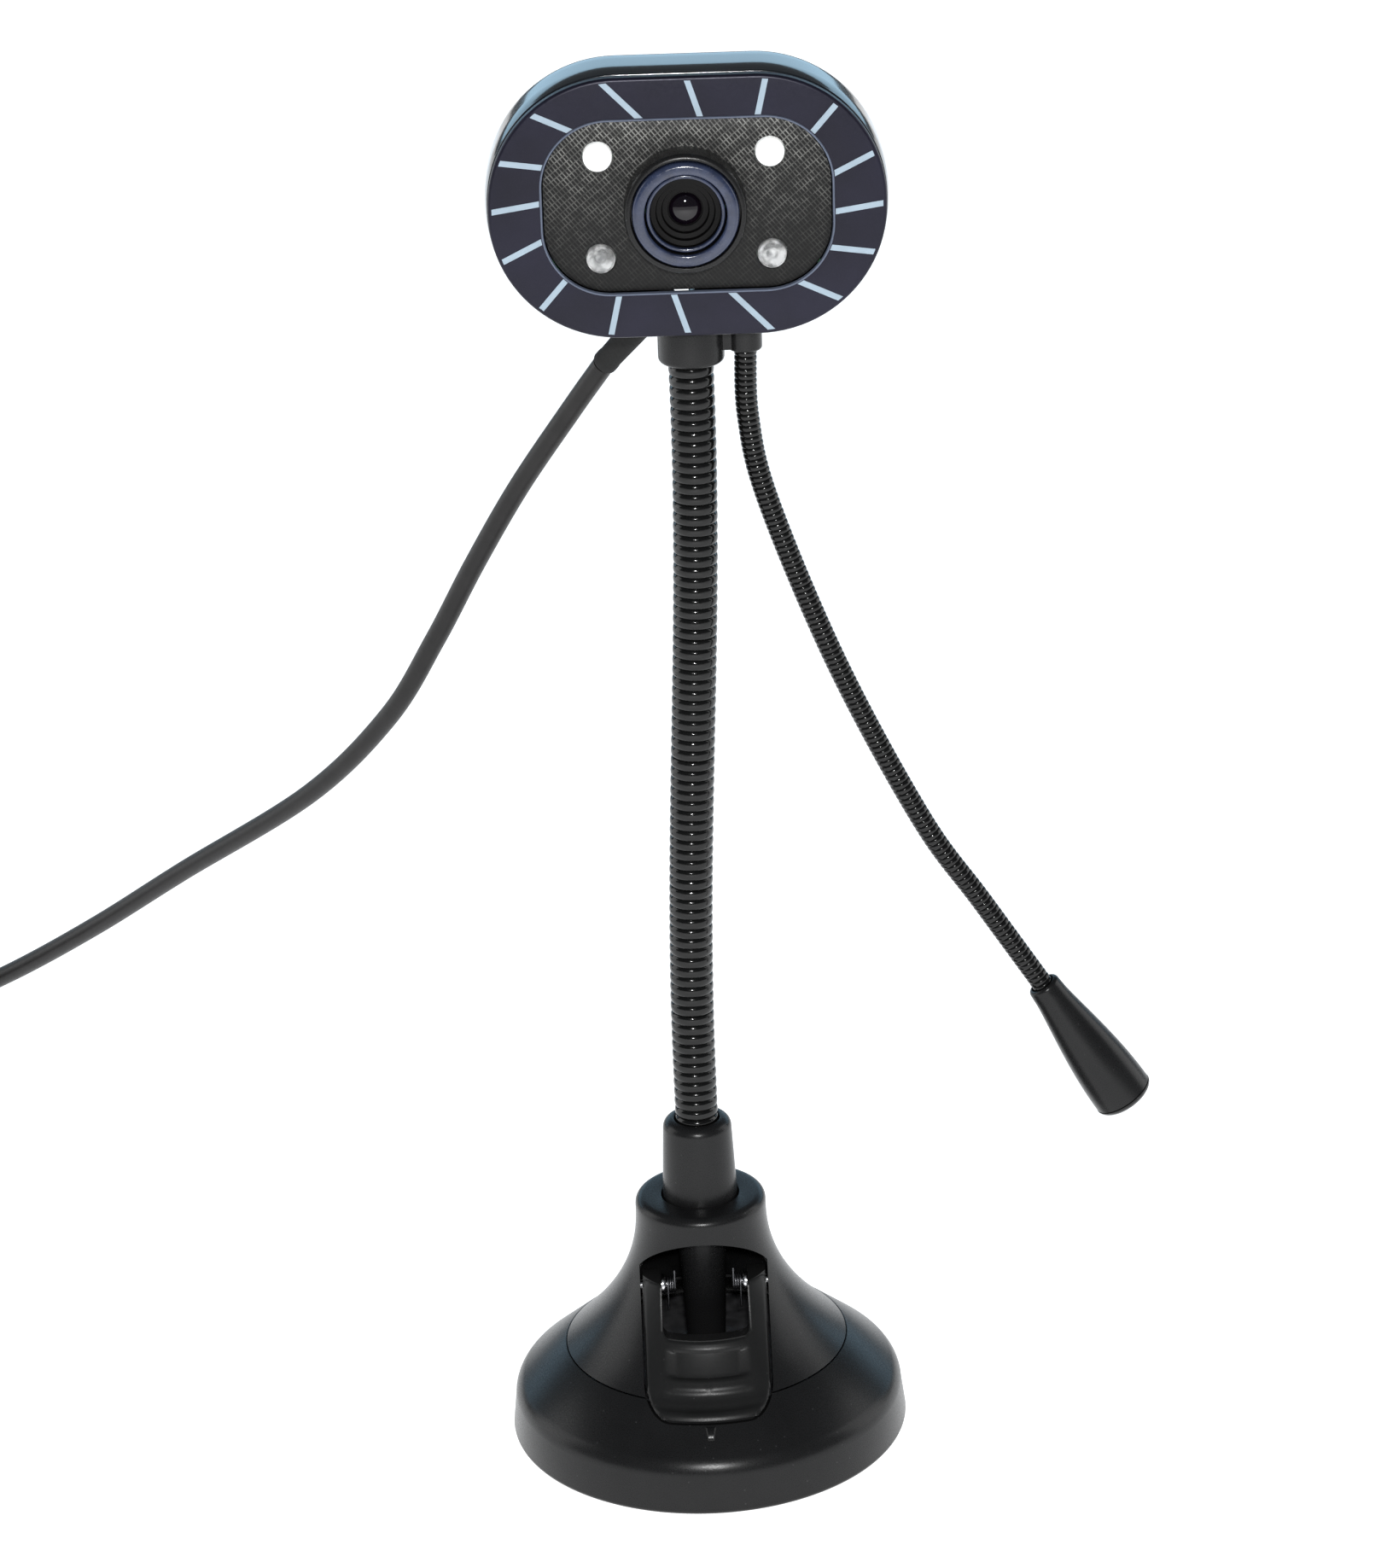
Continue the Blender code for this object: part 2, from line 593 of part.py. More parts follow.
def add_links(name, points, tube_r, ball_r, gap, relief, steps):
    """Sections along a row of points; every inner point is the centre of a ball joint."""
    last = len(points) - 2
    for i in range(last + 1):
        low, high = Vector(points[i]), Vector(points[i + 1])
        profile = link_profile((high - low).length, tube_r, ball_r, gap, relief, cup=i > 0, ball=i < last)
        add_turned(f"{name}_{i + 1}", profile, "neck_black", steps, location=low, turn=aim(high - low))


def neck_point(z):
    """Centre of the neck at a height: a slow S from the upright socket to the head."""
    share = (z - NECK_LEAN_Z[0]) / (NECK_LEAN_Z[1] - NECK_LEAN_Z[0])
    return Vector((NECK_LEAN / 2 * (1 - math.cos(math.pi * min(max(share, 0), 1))), 0, z))


def neck_joint_points():
    step = (NECK_LAST_Z - NECK_FIRST_Z) / (NECK_JOINTS - 1)
    return [neck_point(NECK_FIRST_Z + i * step) for i in range(NECK_JOINTS)]


def head_turn():
    return Matrix.Rotation(math.radians(HEAD_ROLL_DEG), 3, "Y")


def add_neck():
    joints = neck_joint_points()
    top = joints[-1] + head_turn() @ Vector((0, 0, NECK_END_Z))
    points = [Vector((0, 0, SOCKET_FLOOR_Z + GAP))] + joints + [top]
    add_links("neck_link", points, NECK_R, NECK_BALL_R, GAP, NECK_RELIEF, 16)


def add_microphone():
    points = [Vector((x, 0, z)) for x, z in BOOM_POINTS]
    tip = Vector((MIC_TIP[0], 0, MIC_TIP[1]))
    along = (tip - points[-1]).normalized()
    start = tip - along * MIC_LENGTH
    points.append(start + along * BOOM_IN_MIC)
    add_links("mic_link", points, BOOM_R, BOOM_BALL_R, BOOM_GAP, BOOM_RELIEF, 12)

    body = MIC_LENGTH - MIC_CAP_DEPTH
    seat_r = MIC_R[1] - MIC_WALL
    bore = BOOM_R + GAP
    where = {"location": start, "turn": aim(along)}
    floor = body - MIC_MOUTH_DEPTH
    housing = [(0, floor), (seat_r, floor), (seat_r, body), (MIC_R[1], body),
               (MIC_R[1] * 0.93, body * 0.66), (MIC_R[1] * 0.75, body * 0.30), (MIC_R[0], 0.0006),
               (MIC_R[0] - 0.0004, 0), (bore, 0), (bore, BOOM_IN_MIC + GAP), (0, BOOM_IN_MIC + GAP)]
    add_turned("mic_housing", housing, "black_plastic", 24, **where)
    dome = [(MIC_HOLE_R, MIC_LENGTH), (MIC_R[1] * 0.55, MIC_LENGTH - 0.0005),
            (MIC_R[1] * 0.88, MIC_LENGTH - 0.0013),
            (MIC_R[1], body + GAP), (seat_r - GAP, body + GAP), (seat_r - GAP, body - 0.0010),
            (MIC_HOLE_R, body - 0.0010)]
    add_turned("mic_cap", dome, "black_plastic", 24, closed=True, **where)
    add_rod("mic_capsule", CAPSULE_R, body - 0.0056, body - 0.0014, "steel", 16, **where)


# ---------------------------------------------------------------- head

def face_axis():
    """Rotation that turns a piece's own +Z to the head's back, +Y."""
    return Matrix.Rotation(math.radians(-90), 3, "X").to_quaternion()


def outline_ring(half, corner, y, shrink=0.0, rise=0.0):
    """Ring of an oblong with round corners, drawn in evenly by an amount."""
    r = corner - shrink
    across, up = half[0] - corner, half[1] - corner
    points = []
    for x, z, start in ((across, up, 0), (-across, up, 90), (-across, -up, 180), (across, -up, 270)):
        points += arc((x, z), r, start, start + 90, 8)
    return [(x, y, z + rise) for x, z in points]


def add_case(head):
    """Rear shell, bezel and face plate."""
    centre = {"location": (0, 0, HEAD_Z), "parent": head}
    rings = [outline_ring(HEAD_HALF, HEAD_CORNER_R, y, shrink) for y, shrink in SHELL_INSIDE + SHELL_OUTSIDE]
    shell = add_loft("rear_shell", rings, "gloss_shell", **centre)

    rise = LENS_Z - HEAD_Z
    bezel = [outline_ring(HEAD_HALF, HEAD_CORNER_R, BEZEL_Y[1], BEZEL_INSET),
             outline_ring(HEAD_HALF, HEAD_CORNER_R, BEZEL_Y[0] + BEZEL_CHAMFER, BEZEL_INSET),
             outline_ring(HEAD_HALF, HEAD_CORNER_R, BEZEL_Y[0], BEZEL_INSET + BEZEL_CHAMFER),
             outline_ring(FACE_HALF, FACE_CORNER_R, BEZEL_Y[0], rise=rise),
             outline_ring(FACE_HALF, FACE_CORNER_R, BEZEL_Y[1], rise=rise)]
    add_loft("front_bezel", bezel, "satin_plastic", loop=True, **centre)
    plate = [outline_ring(FACE_HALF, FACE_CORNER_R, y, GAP, rise) for y in FACE_Y]
    face = add_loft("face_plate", plate, "black_plastic", **centre)

    openings = [add_rod("lens_opening", HOLDER_TUBE_R[1] + GAP, -0.002, 0.004, steps=24, keep=False,
                        location=(LENS_X, FACE_Y[0], LENS_Z), turn=face_axis(), parent=head)]
    for i, (x, z) in enumerate(led_spots()):
        openings.append(add_rod(f"led_opening_{i + 1}", LED_HOLE_R, -0.002, 0.004, steps=16, keep=False,
                                location=(x, FACE_Y[0], z), turn=face_axis(), parent=head))
    boolean(face, "DIFFERENCE", openings)

    for i, x in enumerate((-CASE_SCREW_X, CASE_SCREW_X)):
        where = {"location": (x, SHELL_BACK_Y, HEAD_Z), "turn": face_axis(), "parent": head}
        recess = add_rod(f"case_recess_{i + 1}", CASE_RECESS_R, -CASE_RECESS_DEPTH, 0.001, steps=16,
                         keep=False, **where)
        boolean(shell, "DIFFERENCE", [recess])
        add_rod(f"case_screw_{i + 1}", CASE_SCREW_R, *CASE_SCREW_Z, "steel", 16, **where)
    return shell


def led_spots():
    return [(LENS_X + x * LED_X, LENS_Z + z * LED_Z) for z in (1, -1) for x in (-1, 1)]


def add_lens(head):
    """Lens holder, focus ring, lens barrel and glass, all on the lens axis."""
    where = {"location": (LENS_X, 0, LENS_Z), "turn": face_axis(), "parent": head}
    tube_in, tube_out = HOLDER_TUBE_R
    tube_front, tube_back = HOLDER_TUBE_Y
    front, back = HOLDER_Y
    holder = [(tube_out, tube_back), (tube_out, back), (HOLDER_R, back), (HOLDER_R, front + HOLDER_ROUND),
              (HOLDER_R - HOLDER_ROUND * 0.3, front + HOLDER_ROUND * 0.3), (RING_R + GAP, front),
              (RING_R + GAP, RING_SEAT_Y), (tube_out, RING_SEAT_Y), (tube_out, tube_front),
              (tube_in, tube_front), (tube_in, tube_back)]
    add_turned("lens_holder", holder, "black_plastic", 24, closed=True, **where)
    ring = arc((RING_R - RING_ROUND, RING_Y[0] + RING_ROUND), RING_ROUND, 0, -90, 3)
    ring += [(RING_LIP_R, RING_Y[0]), (RING_LIP_R, RING_Y[0] + RING_LIP_DEPTH),
             (RING_BORE_R, RING_Y[0] + RING_LIP_DEPTH), (RING_BORE_R, RING_Y[1]), (RING_R, RING_Y[1])]
    add_turned("focus_ring", ring, "gloss_ring", 28, closed=True, **where)
    floor_y = BARREL_Y[0] + BARREL_DEPTH
    barrel = [(0, BARREL_Y[1]), (BARREL_R, BARREL_Y[1]), (BARREL_R, BARREL_Y[0]),
              (BARREL_R - 0.0003, BARREL_Y[0]), (GLASS_R + GAP, floor_y - 0.0012), (GLASS_R + GAP, floor_y),
              (0, floor_y)]
    add_turned("lens_barrel", barrel, "black_plastic", 28, **where)
    glass = [(0, floor_y - GAP), (GLASS_R, floor_y - GAP), (GLASS_R, floor_y - 0.0012),
             (GLASS_R * 0.6, floor_y - 0.0018), (0, floor_y - 0.0021)]
    add_turned("lens_glass", glass, "lens_glass", 20, **where)


def add_leds_and_board(head):
    back = FACE_Y[1]
    led = [(0, back + 0.0014), (LED_R + 0.0004, back + 0.0014), (LED_R + 0.0004, back + GAP),
           (LED_R, back + GAP), (LED_R, FACE_Y[0] - 0.0006)]
    led += arc((0, FACE_Y[0] - 0.0006), LED_R, 0, -90, 4)[1:-1]
    led.append((0, FACE_Y[0] - 0.0006 - LED_R))
    for i, (x, z) in enumerate(led_spots()):
        add_turned(f"led_{i + 1}", led, "clear_led", 16, location=(x, 0, z), turn=face_axis(), parent=head)
    thick = (BOARD_Y[1] - BOARD_Y[0]) / 2
    add_box("circuit_board", (BOARD_HALF[0], thick, BOARD_HALF[1]), "board_green",
            location=(LENS_X, BOARD_Y[0] + thick, LENS_Z), parent=head)
    add_box("image_sensor", (SENSOR_HALF, 0.0006, SENSOR_HALF), "sensor_grey",
            location=(LENS_X, BOARD_Y[0] - GAP - 0.0006, LENS_Z), parent=head)


def add_collar(head):
    """The boss under the head that holds the neck and, beside it, the microphone boom."""
    bottom, top = COLLAR_Z
    profile = [(0, top), (COLLAR_R, top)]
    profile += arc((COLLAR_R - 0.0010, bottom + 0.0010), 0.0010, 0, -90, 2) + [(0, bottom)]
    collar = add_turned("head_collar", profile, "black_plastic", 24, parent=head)
    boss = add_rod("mic_boss", MIC_BOSS_R, MIC_BOSS_Z, top, steps=16, location=(MIC_BOSS_X, 0, 0),
                   parent=head, keep=False)
    web_half = (top - MIC_BOSS_Z) / 2
    web = add_box("collar_web", (MIC_BOSS_X / 2, 0.0018, web_half), keep=False, parent=head,
                  location=(MIC_BOSS_X / 2, 0, top - web_half))
    boolean(collar, "UNION", [boss, web])
    bore = add_rod("neck_bore", NECK_R + GAP, 0, NECK_END_Z + GAP, steps=20, parent=head, keep=False)
    end = Vector((BOOM_POINTS[0][0], 0, BOOM_POINTS[0][1] + GAP))
    boom_bore = add_rod("boom_bore", BOOM_R + GAP, -0.02, 0, steps=16, location=end, keep=False)
    boolean(collar, "DIFFERENCE", [bore, boom_bore])


# ---------------------------------------------------------------- cord

def add_cord(shell):
    start, end = Vector(SLEEVE_START), Vector(SLEEVE_END)
    along = (end - start).normalized()
    length = (end - start).length
    hole = add_rod("cord_hole", SLEEVE_R[0] + GAP, -0.008, 0.008, steps=16, location=start,
                   turn=aim(along), keep=False)
    boolean(shell, "DIFFERENCE", [hole])
    sleeve = [(0, length), (SLEEVE_R[1], length), (SLEEVE_R[0], 0), (0, 0)]
    add_turned("cord_sleeve", sleeve, "rubber", 16, location=start, turn=aim(along))

    first = end + along * GAP
    add_tube("usb_cord", smooth_path((first,) + CORD_ROUTE[1:], CORD_STEP), CORD_R, "cord_black")
    low, high = 0.0001, COIL_BAND
    r_in, r_out = COIL_R - COIL_BAND / 2, COIL_R + COIL_BAND / 2
    ring = [(r_in + 0.001, high), (r_out - 0.001, high), (r_out, high - 0.001), (r_out, low + 0.001),
            (r_out - 0.001, low), (r_in + 0.001, low), (r_in, low + 0.001), (r_in, high - 0.001)]
    add_turned("cord_coil", ring, "cord_black", 32, closed=True, location=(*COIL_CENTRE, 0))
    add_tie(r_in, r_out, high)
    add_tube("usb_cord_tail", smooth_path(TAIL_ROUTE, CORD_STEP), CORD_R, "cord_black")
    add_plug()


def add_tie(r_in, r_out, high):
    """A strap over the coil on its near side."""
    inner = (math.sqrt(r_in ** 2 - TIE_HALF_W ** 2) - GAP, r_out + GAP, high + GAP)
    outer = (inner[0] - TIE_THICK, inner[1] + TIE_THICK, inner[2] + TIE_THICK)
    outline = [(outer[0], GAP), (outer[0], outer[2]), (outer[1], outer[2]), (outer[1], GAP),
               (inner[1], GAP), (inner[1], inner[2]), (inner[0], inner[2]), (inner[0], GAP)]
    add_prism("cord_tie", outline, -TIE_HALF_W, TIE_HALF_W, material="rubber",
              location=(*COIL_CENTRE, 0), turn=Matrix.Rotation(math.radians(-90), 3, "Z").to_quaternion())


def add_plug():
    near, far = PLUG_Y
    z = PLUG_HALF[1] + 0.0002
    rings = []
    for y, shrink in ((near, 0.0016), (near - 0.004, 0.0004), (far, 0)):
        half = (PLUG_HALF[0] - shrink, PLUG_HALF[1] - shrink / 2)
        rings.append([(x, y, h) for x, h in superellipse(half, 5, 20)])
    add_loft("usb_plug_body", rings, "black_plastic", location=(PLUG_X, 0, z))
    outer = [(x, h) for x, h in superellipse(PLUG_SHELL_HALF, 12, 16)]
    inner = [(x * 0.95, h * 0.86) for x, h in outer]
    far -= GAP
    tip = far - PLUG_SHELL_LENGTH
    rings = [[(x, y, h) for x, h in loop]
             for loop, y in ((inner, far - 0.001), (inner, tip), (outer, tip), (outer, far))]
    add_loft("usb_plug_shell", rings, "steel", location=(PLUG_X, 0, z))


# ---------------------------------------------------------------- assembly

clear_scene()
parts = new_collection("Gooseneck webcam")
cutters = new_collection("Cutters")
add_palette()

base_ring, ring_rib = add_base_ring()
bell_housing = add_bell()
add_clip(base_ring, ring_rib, bell_housing)
add_base_inside()
add_column_and_socket()
add_neck()
add_microphone()

head_frame = bpy.data.objects.new("head_frame", None)
parts.objects.link(head_frame)
head_frame.location = neck_joint_points()[-1]
head_frame.rotation_euler = (0, math.radians(HEAD_ROLL_DEG), 0)
rear_shell = add_case(head_frame)
add_lens(head_frame)
add_leds_and_board(head_frame)
add_collar(head_frame)
bpy.context.view_layer.update()
add_cord(rear_shell)
bpy.context.view_layer.update()
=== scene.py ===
"""Looks for a gooseneck webcam with a microphone boom and a weighted base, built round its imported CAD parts.

Units are metres in the CAD frame: +Z is up, the lens looks along -Y, the base stands on z = 0.
"""
import json
import math

import bmesh
import bpy
from mathutils import Matrix, Vector


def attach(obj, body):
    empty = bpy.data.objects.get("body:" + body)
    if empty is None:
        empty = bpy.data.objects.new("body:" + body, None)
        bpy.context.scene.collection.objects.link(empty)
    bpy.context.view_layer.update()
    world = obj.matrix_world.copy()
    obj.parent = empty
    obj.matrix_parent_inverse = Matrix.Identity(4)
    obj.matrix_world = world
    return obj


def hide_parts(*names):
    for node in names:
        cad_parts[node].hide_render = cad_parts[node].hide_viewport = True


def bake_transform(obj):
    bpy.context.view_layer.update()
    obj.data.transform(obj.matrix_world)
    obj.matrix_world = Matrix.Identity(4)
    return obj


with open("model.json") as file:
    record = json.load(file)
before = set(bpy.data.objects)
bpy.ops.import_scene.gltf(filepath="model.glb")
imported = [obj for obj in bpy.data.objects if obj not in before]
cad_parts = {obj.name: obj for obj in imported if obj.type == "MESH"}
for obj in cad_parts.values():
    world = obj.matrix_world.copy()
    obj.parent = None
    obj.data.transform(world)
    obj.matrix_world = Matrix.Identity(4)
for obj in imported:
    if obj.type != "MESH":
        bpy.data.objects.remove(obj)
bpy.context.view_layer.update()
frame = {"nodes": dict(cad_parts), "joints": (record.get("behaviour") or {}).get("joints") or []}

GAP = 0.0003
SEAM_GAP = 0.0001

# ---- camera, as the object is looked at from in front and above
CAMERA_AT = (0.0, -0.8, 0.45775)
CAMERA_PITCH, CAMERA_YAW, CAMERA_ROLL = 0.38879, 0.00265, -0.04404
CAMERA_LENS = 110.0

# ---- sizes shared with the CAD parts
BASE_R, RIM_DRAFT, RIM_TOP_Z, FOOT_ARC_R, RING_BOTTOM_Z = 0.0373, 0.0007, 0.0070, 0.0010, 0.0002
SHOULDER_R, SLOPE_DEG, SEAM_R, WALL = 0.0050, 39.8, 0.0266, 0.0020
BELL_TOP_Z, BELL_NECK_R, BELL_FLARE_Z, BELL_FLARE_POWER, BELL_HOLE_R = 0.0478, 0.0122, 0.0450, 2.15, 0.0072
CLIP_HALF_W, CLIP_BOTTOM_Z, CLIP_CORNER_R, CLIP_THICK = 0.01155, 0.0153, 0.0040, 0.0022
CLIP_SLOT_HALF_W, CLIP_SLOT_Z, CLIP_SLOT_CORNER_R, CLIP_CLEARANCE = 0.0080, 0.0262, 0.0010, 0.0004
WINDOW_SPRING_Z, WINDOW_TOP_Z = 0.0362, 0.0428
PIN_Y, PIN_Z, PIN_R, PIN_X, KNUCKLE_R = -0.0060, 0.0318, 0.0010, (0.0052, 0.0126), 0.0030
NECK_R, NECK_LEAN, NECK_LEAN_Z = 0.0040, 0.0049, (0.0740, 0.2050)
HEAD_ROLL_DEG, HEAD_Z, HEAD_HALF, HEAD_CORNER_R = 0.7, 0.0441, (0.03455, 0.0233), 0.0228
LENS_X, LENS_Z, LED_X, LED_Z = -0.0004, 0.0444, 0.0146, 0.0089
FACE_HALF, FACE_CORNER_R = (0.02465, 0.0150), 0.0115
BEZEL_FRONT, BEZEL_BACK, BEZEL_INSET = -0.0110, -0.0089, 0.0006
SHELL_FRONT, SHELL_BACK, SHELL_WALL = -0.0086, 0.0110, 0.0018
FACE_FRONT, FACE_BACK = -0.0104, -0.0084
CASE_SCREW_X = 0.0200
HOLDER_Y, HOLDER_TUBE_Y, RING_SEAT_Y = (-0.0166, -0.0107), (-0.0156, -0.0052), -0.0132
RING_R, RING_LIP_R, RING_Y, BARREL_Y = 0.0091, 0.0070, (-0.0172, -0.0135), (-0.0161, -0.0080)
CONE_STEPS = (0.0010, 0.0009, 0.0009)
COLLAR_R, COLLAR_Z, MIC_BOSS_X, MIC_BOSS_R, MIC_BOSS_Z = 0.0058, (0.0136, 0.0206), 0.0094, 0.0030, 0.0155
BOOM_R = 0.0020
BOOM_START, MIC_TIP, MIC_LENGTH, MIC_R = (0.0145, 0.2135), (0.0803, 0.0625), 0.0294, (0.0030, 0.0057)

ARM_TOP_Z = 0.0343

# ---- cord
CORD_D = 0.0040
SLEEVE_START, SLEEVE_END, SLEEVE_R = (0.0011, 0.0099, 0.2186), (-0.0104, 0.0214, 0.2033), (0.0026, 0.0021)
CORD_ROUTE = (
    (-0.0106, 0.0216, 0.2030), (-0.0169, 0.0279, 0.1928), (-0.0275, 0.0385, 0.1750),
    (-0.0369, 0.0478, 0.1571), (-0.0458, 0.0568, 0.1388), (-0.0564, 0.0674, 0.1194),
    (-0.0743, 0.0853, 0.0967), (-0.1041, 0.1151, 0.0686), (-0.1260, 0.1360, 0.0480),
    (-0.1480, 0.1550, 0.0295), (-0.1680, 0.1690, 0.0160), (-0.1850, 0.1785, 0.0080),
    (-0.1970, 0.1830, 0.0038), (-0.2090, 0.1842, 0.0022),
)
TAIL_ROUTE = (
    (-0.2505, 0.1430, 0.0090), (-0.2506, 0.1370, 0.0075), (-0.2507, 0.1300, 0.0055), (-0.2508, 0.1230, 0.0044),
)
COIL_CENTRE = (-0.2240, 0.1582)
COIL_RADII = (0.0180, 0.0220, 0.0260)
COIL_LEVELS = (0.0021, 0.0060, 0.0099)
PLUG_X, PLUG_Y, PLUG_Z, PLUG_HALF = -0.2508, (0.1224, 0.0984), 0.0042, (0.0080, 0.0040)
PLUG_SHELL_HALF, PLUG_SHELL_LENGTH = (0.0060, 0.00225), 0.0120

joint_at = {j["name"]: Vector(j["pos_m"]) for j in frame["joints"] if "pos_m" in j}
neck_joints = [joint_at[f"neck_{way}_{n}"] for n in (1, 2, 3) for way in ("pitch", "lean")]
mic_joints = [joint_at[f"mic_{way}_{n}"] for n in (1, 2) for way in ("swing", "turn")]
NECK_BODIES = ["base", "neck_1", "neck_2", "neck_3", "neck_4", "neck_5", "head"]
MIC_BODIES = ["head", "mic_1", "mic_2", "mic_3", "microphone"]
SWAPPED = {("neck_3", "neck_4"), ("mic_2", "mic_3"), ("head", "neck_5")}   # pairs whose two bodies bend() swaps
HEAD = Matrix.Translation(neck_joints[-1]) @ Matrix.Rotation(math.radians(HEAD_ROLL_DEG), 4, "Y")
CASE = HEAD @ Matrix.Translation((0, 0, HEAD_Z))
FACE_RISE = LENS_Z - HEAD_Z
LENS = HEAD @ Matrix.Translation((LENS_X, 0, LENS_Z)) @ Matrix.Rotation(math.radians(-90), 4, "X")


# ================================================================ materials

def shader_of(name):
    """A new node material with its Principled shader and a texture coordinate node."""
    material = bpy.data.materials.new(name)
    material.use_nodes = True
    tree = material.node_tree
    shader = tree.nodes["Principled BSDF"]
    place = tree.nodes.new("ShaderNodeTexCoord")
    return material, tree, shader, place.outputs["Object"]


def set_inputs(node, **values):
    for key, value in values.items():
        node.inputs[key.replace("_", " ")].default_value = value


def noise(tree, where, size, detail=2.0, stretch=None):
    """A noise texture whose features are about a size in metres, or stretched along the axes."""
    if stretch:
        mapping = tree.nodes.new("ShaderNodeMapping")
        mapping.inputs["Scale"].default_value = stretch
        tree.links.new(where, mapping.inputs["Vector"])
        where = mapping.outputs["Vector"]
    node = tree.nodes.new("ShaderNodeTexNoise")
    set_inputs(node, Scale=1.0 / size, Detail=detail)
    tree.links.new(where, node.inputs["Vector"])
    return node.outputs["Fac"]


def to_range(tree, value, low, high, start=0.3, end=0.7):
    node = tree.nodes.new("ShaderNodeMapRange")
    for key, number in (("From Min", start), ("From Max", end), ("To Min", low), ("To Max", high)):
        node.inputs[key].default_value = number
    tree.links.new(value, node.inputs["Value"])
    return node.outputs["Result"]


def mix_colours(tree, factor, low, high):
    node = tree.nodes.new("ShaderNodeMix")
    node.data_type = "RGBA"
    tree.links.new(factor, node.inputs["Factor"])
    for socket, colour in ((node.inputs[6], low), (node.inputs[7], high)):
        if isinstance(colour, tuple):
            socket.default_value = (*colour, 1.0)
        else:
            tree.links.new(colour, socket)
    return node.outputs[2]


def shaded(colour, share):
    return tuple(c * share for c in colour)


def bump(tree, height, distance, strength=1.0, under=None):
    node = tree.nodes.new("ShaderNodeBump")
    set_inputs(node, Strength=strength, Distance=distance)
    tree.links.new(height, node.inputs["Height"])
    if under is not None:
        tree.links.new(under, node.inputs["Normal"])
    return node.outputs["Normal"]


def moulded(name, colour, roughness, mottle=0.12, patch=0.006, grain=0.00022, relief=0.000010, spread=0.05,
            dust=0.0, sheen=0.25, **inputs):
    """Moulded plastic or rubber: uneven tone, a fine grain in relief and gloss, and specks of dust."""
    material, tree, shader, where = shader_of(name)
    tone = to_range(tree, noise(tree, where, patch, 4.0), 0.0, 1.0)
    base = mix_colours(tree, tone, shaded(colour, 1 - mottle), shaded(colour, 1 + mottle))
    fine = noise(tree, where, grain, 3.0)
    if dust:
        specks = tree.nodes.new("ShaderNodeTexVoronoi")
        set_inputs(specks, Scale=420.0)
        tree.links.new(where, specks.inputs["Vector"])
        few = to_range(tree, specks.outputs["Distance"], dust, 0.0, 0.03, 0.07)
        base = mix_colours(tree, few, base, (0.35, 0.35, 0.36))
    tree.links.new(base, shader.inputs["Base Color"])
    tree.links.new(to_range(tree, fine, roughness - spread, roughness + spread), shader.inputs["Roughness"])
    tree.links.new(bump(tree, fine, relief), shader.inputs["Normal"])
    set_inputs(shader, Specular_IOR_Level=sheen, **inputs)
    return material


def brushed(name, colour, roughness, stretch=(1, 1, 40), **inputs):
    """Drawn or ground metal with fine scratches along one way."""
    material, tree, shader, where = shader_of(name)
    lines = noise(tree, where, 0.006, 3.0, stretch)
    tree.links.new(mix_colours(tree, to_range(tree, lines, 0, 1), shaded(colour, 0.8), colour),
                   shader.inputs["Base Color"])
    tree.links.new(to_range(tree, lines, roughness, roughness + 0.12), shader.inputs["Roughness"])
    tree.links.new(bump(tree, lines, 0.000006), shader.inputs["Normal"])
    set_inputs(shader, Metallic=1.0, **inputs)
    return material


def hatch(tree, where, degrees, pitch):
    """Fine parallel grooves in the plane of the face, turned by an angle."""
    mapping = tree.nodes.new("ShaderNodeMapping")
    mapping.inputs["Rotation"].default_value = (0, math.radians(degrees), 0)
    tree.links.new(where, mapping.inputs["Vector"])
    wave = tree.nodes.new("ShaderNodeTexWave")
    wave.bands_direction = "X"
    set_inputs(wave, Scale=2 * math.pi / (20 * pitch), Distortion=0.6, Detail=1.0)
    wave.inputs["Detail Scale"].default_value = 0.4
    tree.links.new(mapping.outputs["Vector"], wave.inputs["Vector"])
    return wave.outputs["Fac"]


def face_material():
    """Black face plate with a fine crossed hatching of broken strokes, their colour made lighter towards the top as a
    painted highlight.
    """
    material, tree, shader, where = shader_of("hatched_face")
    first = to_range(tree, hatch(tree, where, 38, 0.00062), 0.0, 1.0, 0.62, 0.98)
    second = to_range(tree, hatch(tree, where, -52, 0.00105), 0.0, 0.7, 0.86, 0.99)
    join = tree.nodes.new("ShaderNodeMath")
    join.operation = "MAXIMUM"
    tree.links.new(first, join.inputs[0])
    tree.links.new(second, join.inputs[1])
    broken = tree.nodes.new("ShaderNodeMath")
    broken.operation = "MULTIPLY"
    tree.links.new(join.outputs[0], broken.inputs[0])
    tree.links.new(to_range(tree, noise(tree, where, 0.0014, 2.0), 0.30, 1.0, 0.40, 0.66), broken.inputs[1])
    height = tree.nodes.new("ShaderNodeSeparateXYZ")
    tree.links.new(where, height.inputs[0])
    # painted highlight: the higher a stroke sits on the plate, the lighter its colour
    upward = to_range(tree, height.outputs["Z"], 0.0, 1.0, FACE_LOW, FACE_HIGH)
    painted_highlight_rise = tree.nodes.new("ShaderNodeMath")
    painted_highlight_rise.operation = "POWER"
    painted_highlight_rise.inputs[1].default_value = 2.2
    tree.links.new(upward, painted_highlight_rise.inputs[0])
    glint = mix_colours(tree, painted_highlight_rise.outputs[0], (0.017, 0.017, 0.016), (0.34, 0.34, 0.32))
    tree.links.new(mix_colours(tree, broken.outputs[0], (0.0045, 0.0045, 0.0045), glint),
                   shader.inputs["Base Color"])
    tree.links.new(to_range(tree, broken.outputs[0], 0.45, 0.30, 0, 1), shader.inputs["Roughness"])
    tree.links.new(bump(tree, join.outputs[0], 0.00003, 0.5), shader.inputs["Normal"])
    set_inputs(shader, Specular_IOR_Level=0.2)
    return material


